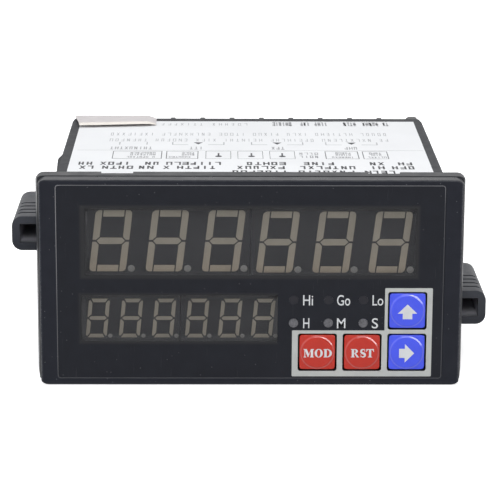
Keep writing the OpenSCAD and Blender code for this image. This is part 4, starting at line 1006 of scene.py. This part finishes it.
def lead(x):
    """Short line of the diagram that runs to the rear."""
    near, far = LEAD["y"]
    return box_loop(x - LEAD["half"], near, x + LEAD["half"], far)


def contact(x):
    """Arrow of a contact, and the leads on both sides of it with their bars."""
    tip, foot, half = (CONTACT[key] for key in ("tip", "foot", "half"))
    lines = []
    for side in (-1, 1):
        inner, outer = (x + reach * side for reach in CONTACT["bar"])
        near, far = CONTACT["bar_y"]
        lines += [lead(outer), box_loop(min(inner, outer), near, max(inner, outer), far)]
    return [(x, tip), (x - half, foot), (x + half, foot)], lines


def switch(x):
    """Button and stem of a switch."""
    near, far = STEM_LINE["y"]
    return [arc(x, BUTTON["y"], BUTTON["radius"], BUTTON["radius"], 0, 337, 15),
            box_loop(x - STEM_LINE["half"], near, x + STEM_LINE["half"], far)]


def box_words(rng, far_run, near_run):
    """Two words over one another and a third one below them."""
    loops = []
    first, second = BOX_WORDS["far"]
    for run, y in ((far_run, first), (far_run, second), (near_run, BOX_WORDS["near"])):
        loops += greeked(rng, y, y + BOX_WORDS["high"], BOX_WORDS["wide"], BOX_WORDS["gap"],
                         BOX_WORDS["line"], (run,))
    return loops


def label_art():
    """Print of the label: rows of marks, contacts, switches and boxes."""
    rng = random.Random(11)
    dark, grey = [], []
    for row in FAR_ROWS:
        grey += greeked(rng, *row)
    for x in CONTACT["x"]:
        arrow, lines = contact(x)
        dark.append(arrow)
        grey += lines
    grey += [lead(x) for x in SUPPLY_X]
    for _, far_run, near_run in WORD_BOXES:
        grey += box_words(rng, far_run, near_run)
    for x in SWITCH_X:
        dark += switch(x)
    for row in SIDE_ROWS:
        grey += greeked(rng, *row)
    for row in NEAR_ROWS:
        dark += greeked(rng, *row)
    piece("label_print", [slab(loop) for loop in dark], ON_LABEL, "case", "label_paper", LABEL_INK)
    grey.append(box_loop(*RULE))
    piece("label_fine_print", [slab(loop) for loop in grey], ON_LABEL, "case", "label_paper", LABEL_GREY)

    tree, sockets = cell_row_tree()
    x, y = CELL["start"]
    from_nodes("label_switch_boxes", tree, sockets, {
        "Count": len(SWITCH_X), "Pitch": CELL["pitch"] * MM, "Width": CELL["wide"] * MM,
        "Height": CELL["high"] * MM, "Line": CELL["line"] * MM,
        "Start": (x * MM, y * MM, (LABEL_TOP + INK / 2) * MM), "Finish": LABEL_INK,
    }, "case", "label_paper")
    near, far = BOX_Y
    boxes = [drawing(frame_loops(x0, near, x1, far, BOX_LINE)) for (x0, x1), *_ in WORD_BOXES]
    piece("label_wide_boxes", boxes, ON_LABEL, "case", "label_paper", LABEL_INK)


# Rear numbers beside the terminals

def terminal_numbers():
    """Numbers on the rear cover, from left to right as seen from the rear."""
    meshes = []
    for row, z in enumerate(NUMBER_Z):
        for i in range(TERMINALS):
            x = (i - (TERMINALS - 1) / 2) * TERMINAL_PITCH
            number = row * TERMINALS + i + 1
            wide = 0.7 if number == 1 else 1.2 if number < 10 else 2.4
            box = (x - wide / 2, z, x + wide / 2, z + NUMBER_HIGH)
            meshes.append(lettering(str(number), box, heavy=0.012))
    piece("terminal_numbers", meshes, ON_REAR, "case", "case_plastic", PALE_INK)


# Paper seal, curled up at its front edge

def seal():
    """Stiff paper strip that rises from the rear edge towards the front and ends in a turned-down lip."""
    across = SEAL_STEPS
    built = bmesh.new()
    grid = []
    for v, lift in SEAL_SECTION:
        row = []
        left = SEAL["left"][1] + (SEAL["left"][0] - SEAL["left"][1]) * v
        for i in range(across + 1):
            u = i / across
            end = max(0.0, (u - SEAL["round_from"]) / (1 - SEAL["round_from"])) ** 2
            front = SEAL["front"][0] + (SEAL["front"][1] - SEAL["front"][0]) * u + SEAL["round_front"] * end
            rear = SEAL["rear"] - SEAL["round_rear"] * end
            rise = max(lift * (1 - SEAL["flatter"] * end), SEAL["lowest"])
            spot = (left + (SEAL["right"] - left) * u, rear + (front - rear) * v, LABEL_TOP + rise)
            row.append(built.verts.new([length * MM for length in spot]))
        grid.append(row)
    for low, high in zip(grid, grid[1:]):
        for i in range(across):
            face = built.faces.new((low[i], low[i + 1], high[i + 1], high[i]))
            face.smooth = True
    bmesh.ops.recalc_face_normals(built, faces=built.faces)
    mesh = finished(built, "paper_seal")
    made = show("paper_seal", mesh, "case", "seal_paper", SEAL_PAPER, SEAL_LIP)
    for face in mesh.polygons:
        face.material_index = int(face.index // across >= SEAL_LIP_FROM)
    wall = made.modifiers.new("paper thickness", "SOLIDIFY")
    wall.thickness = SEAL["thick"] * MM
    wall.offset = 0.0
    smooth = made.modifiers.new("soft curl", "SUBSURF")
    smooth.levels = smooth.render_levels = 2
    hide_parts("seal_strip")


key_field()
film_edge()
window_prints()
legends()
lamp_dots()
keys()
key_marks()
label_art()
terminal_numbers()
seal()


# Studio

def seen(tree):
    """1 for what the camera sees, directly, in a gloss or through a pane."""
    path = put(tree, "ShaderNodeLightPath").outputs
    return calc(tree, "MAXIMUM", calc(tree, "MAXIMUM", path["Is Camera Ray"], path["Is Glossy Ray"]),
                path["Is Transmission Ray"])


def floor():
    """Pale floor under the bezel; it reads white to the camera and keeps a soft shadow."""
    built = bmesh.new()
    bmesh.ops.create_grid(built, x_segments=2, y_segments=2, size=FLOOR_HALF)
    mesh = finished(built, "floor")
    mesh.transform(Matrix.Translation((0, 0, cad_box[0].z - FLOOR_GAP)))
    made = add_object("floor", mesh)
    material = bpy.data.materials.new("pale_floor")
    material.use_nodes = True
    tree = material.node_tree
    tree.nodes.remove(tree.nodes["Principled BSDF"])
    glow = put(tree, "ShaderNodeEmission", Color=WHITE, Strength=times(tree, seen(tree), FLOOR_GLOW))
    plain = put(tree, "ShaderNodeBsdfDiffuse", Color=FLOOR_GREY)
    both = put(tree, "ShaderNodeAddShader")
    tree.links.new(glow.outputs[0], both.inputs[0])
    tree.links.new(plain.outputs[0], both.inputs[1])
    tree.links.new(both.outputs[0], tree.nodes["Material Output"].inputs["Surface"])
    mesh.materials.append(material)


def world():
    """White surroundings that light the object at a plain level."""
    studio = bpy.data.worlds.new("studio")
    bpy.context.scene.world = studio
    studio.use_nodes = True
    tree = studio.node_tree
    back = tree.nodes["Background"]
    back.inputs["Color"].default_value = WHITE
    tree.links.new(spread(tree, seen(tree), 0.0, 1.0, PLAIN_LIGHT, 1.0), back.inputs["Strength"])


def softbox(name, toward, distance, size, power):
    """Square lamp that shines on the object from the direction toward."""
    direction = Vector(toward).normalized()
    across = Vector((0, 0, 1)).cross(direction)
    lamp(name, direction * distance, across, (size, size), power)


def strip(name, start, end, width, power):
    """Long lamp from start to end that only adds highlights."""
    start, end = Vector(start), Vector(end)
    made = lamp(name, (start + end) / 2, end - start, ((end - start).length, width), power)
    made.visible_diffuse = False


def lamp(name, place, across, size, power):
    """Rectangular lamp at place, with its long side along across, that points at the object."""
    light = bpy.data.lights.new(name, "AREA")
    light.shape = "RECTANGLE"
    light.size, light.size_y = size
    light.energy = power
    light.color = LAMP_TINT
    made = add_object(name, light)
    back = place.normalized()
    side = (across - back * across.dot(back)).normalized()
    turn = Matrix((side, back.cross(side), back)).transposed()
    made.matrix_world = Matrix.Translation(place + LAMP_AIM) @ turn.to_4x4()
    return made


def camera():
    """Camera fitted to the photograph: aim, distance, elevation, azimuth and roll."""
    aim = Vector((-0.199, FRONT_Y, 7.855)) * MM
    distance = 530.4 * MM
    elevation, azimuth, roll = (math.radians(a) for a in (14.475, 0.79, 0.282))
    ahead = Vector((math.sin(azimuth) * math.cos(elevation), math.cos(azimuth) * math.cos(elevation),
                    -math.sin(elevation)))
    right = Vector((math.cos(azimuth), -math.sin(azimuth), 0))
    up = right.cross(ahead)
    turned_right = math.cos(roll) * right + math.sin(roll) * up
    turned_up = -math.sin(roll) * right + math.cos(roll) * up
    lens = bpy.data.cameras.new("camera")
    lens.sensor_width = 36.0
    lens.lens = PHOTO["focal"] * lens.sensor_width / PHOTO["side"]
    lens.clip_start, lens.clip_end = 0.05, 20.0
    made = add_object("camera", lens)
    turn = Matrix((turned_right, turned_up, -ahead)).transposed()
    made.matrix_world = Matrix.Translation(aim - ahead * distance) @ turn.to_4x4()
    bpy.context.scene.camera = made


floor()
world()
softbox("overhead_softbox", (0.05, -0.25, 1.0), distance=0.9, size=0.7, power=4.7)
strip("right_strip", (0.715, -0.335, 0.128), (0.231, -0.444, 0.624), width=0.06, power=9.5)
softbox("front_fill", (0.0, -0.58, 0.45), distance=0.85, size=0.35, power=2.7)
softbox("left_fill", (-0.8, -0.5, 0.35), distance=0.9, size=0.5, power=1.1)
camera()
bpy.context.scene.view_settings.view_transform = "Standard"
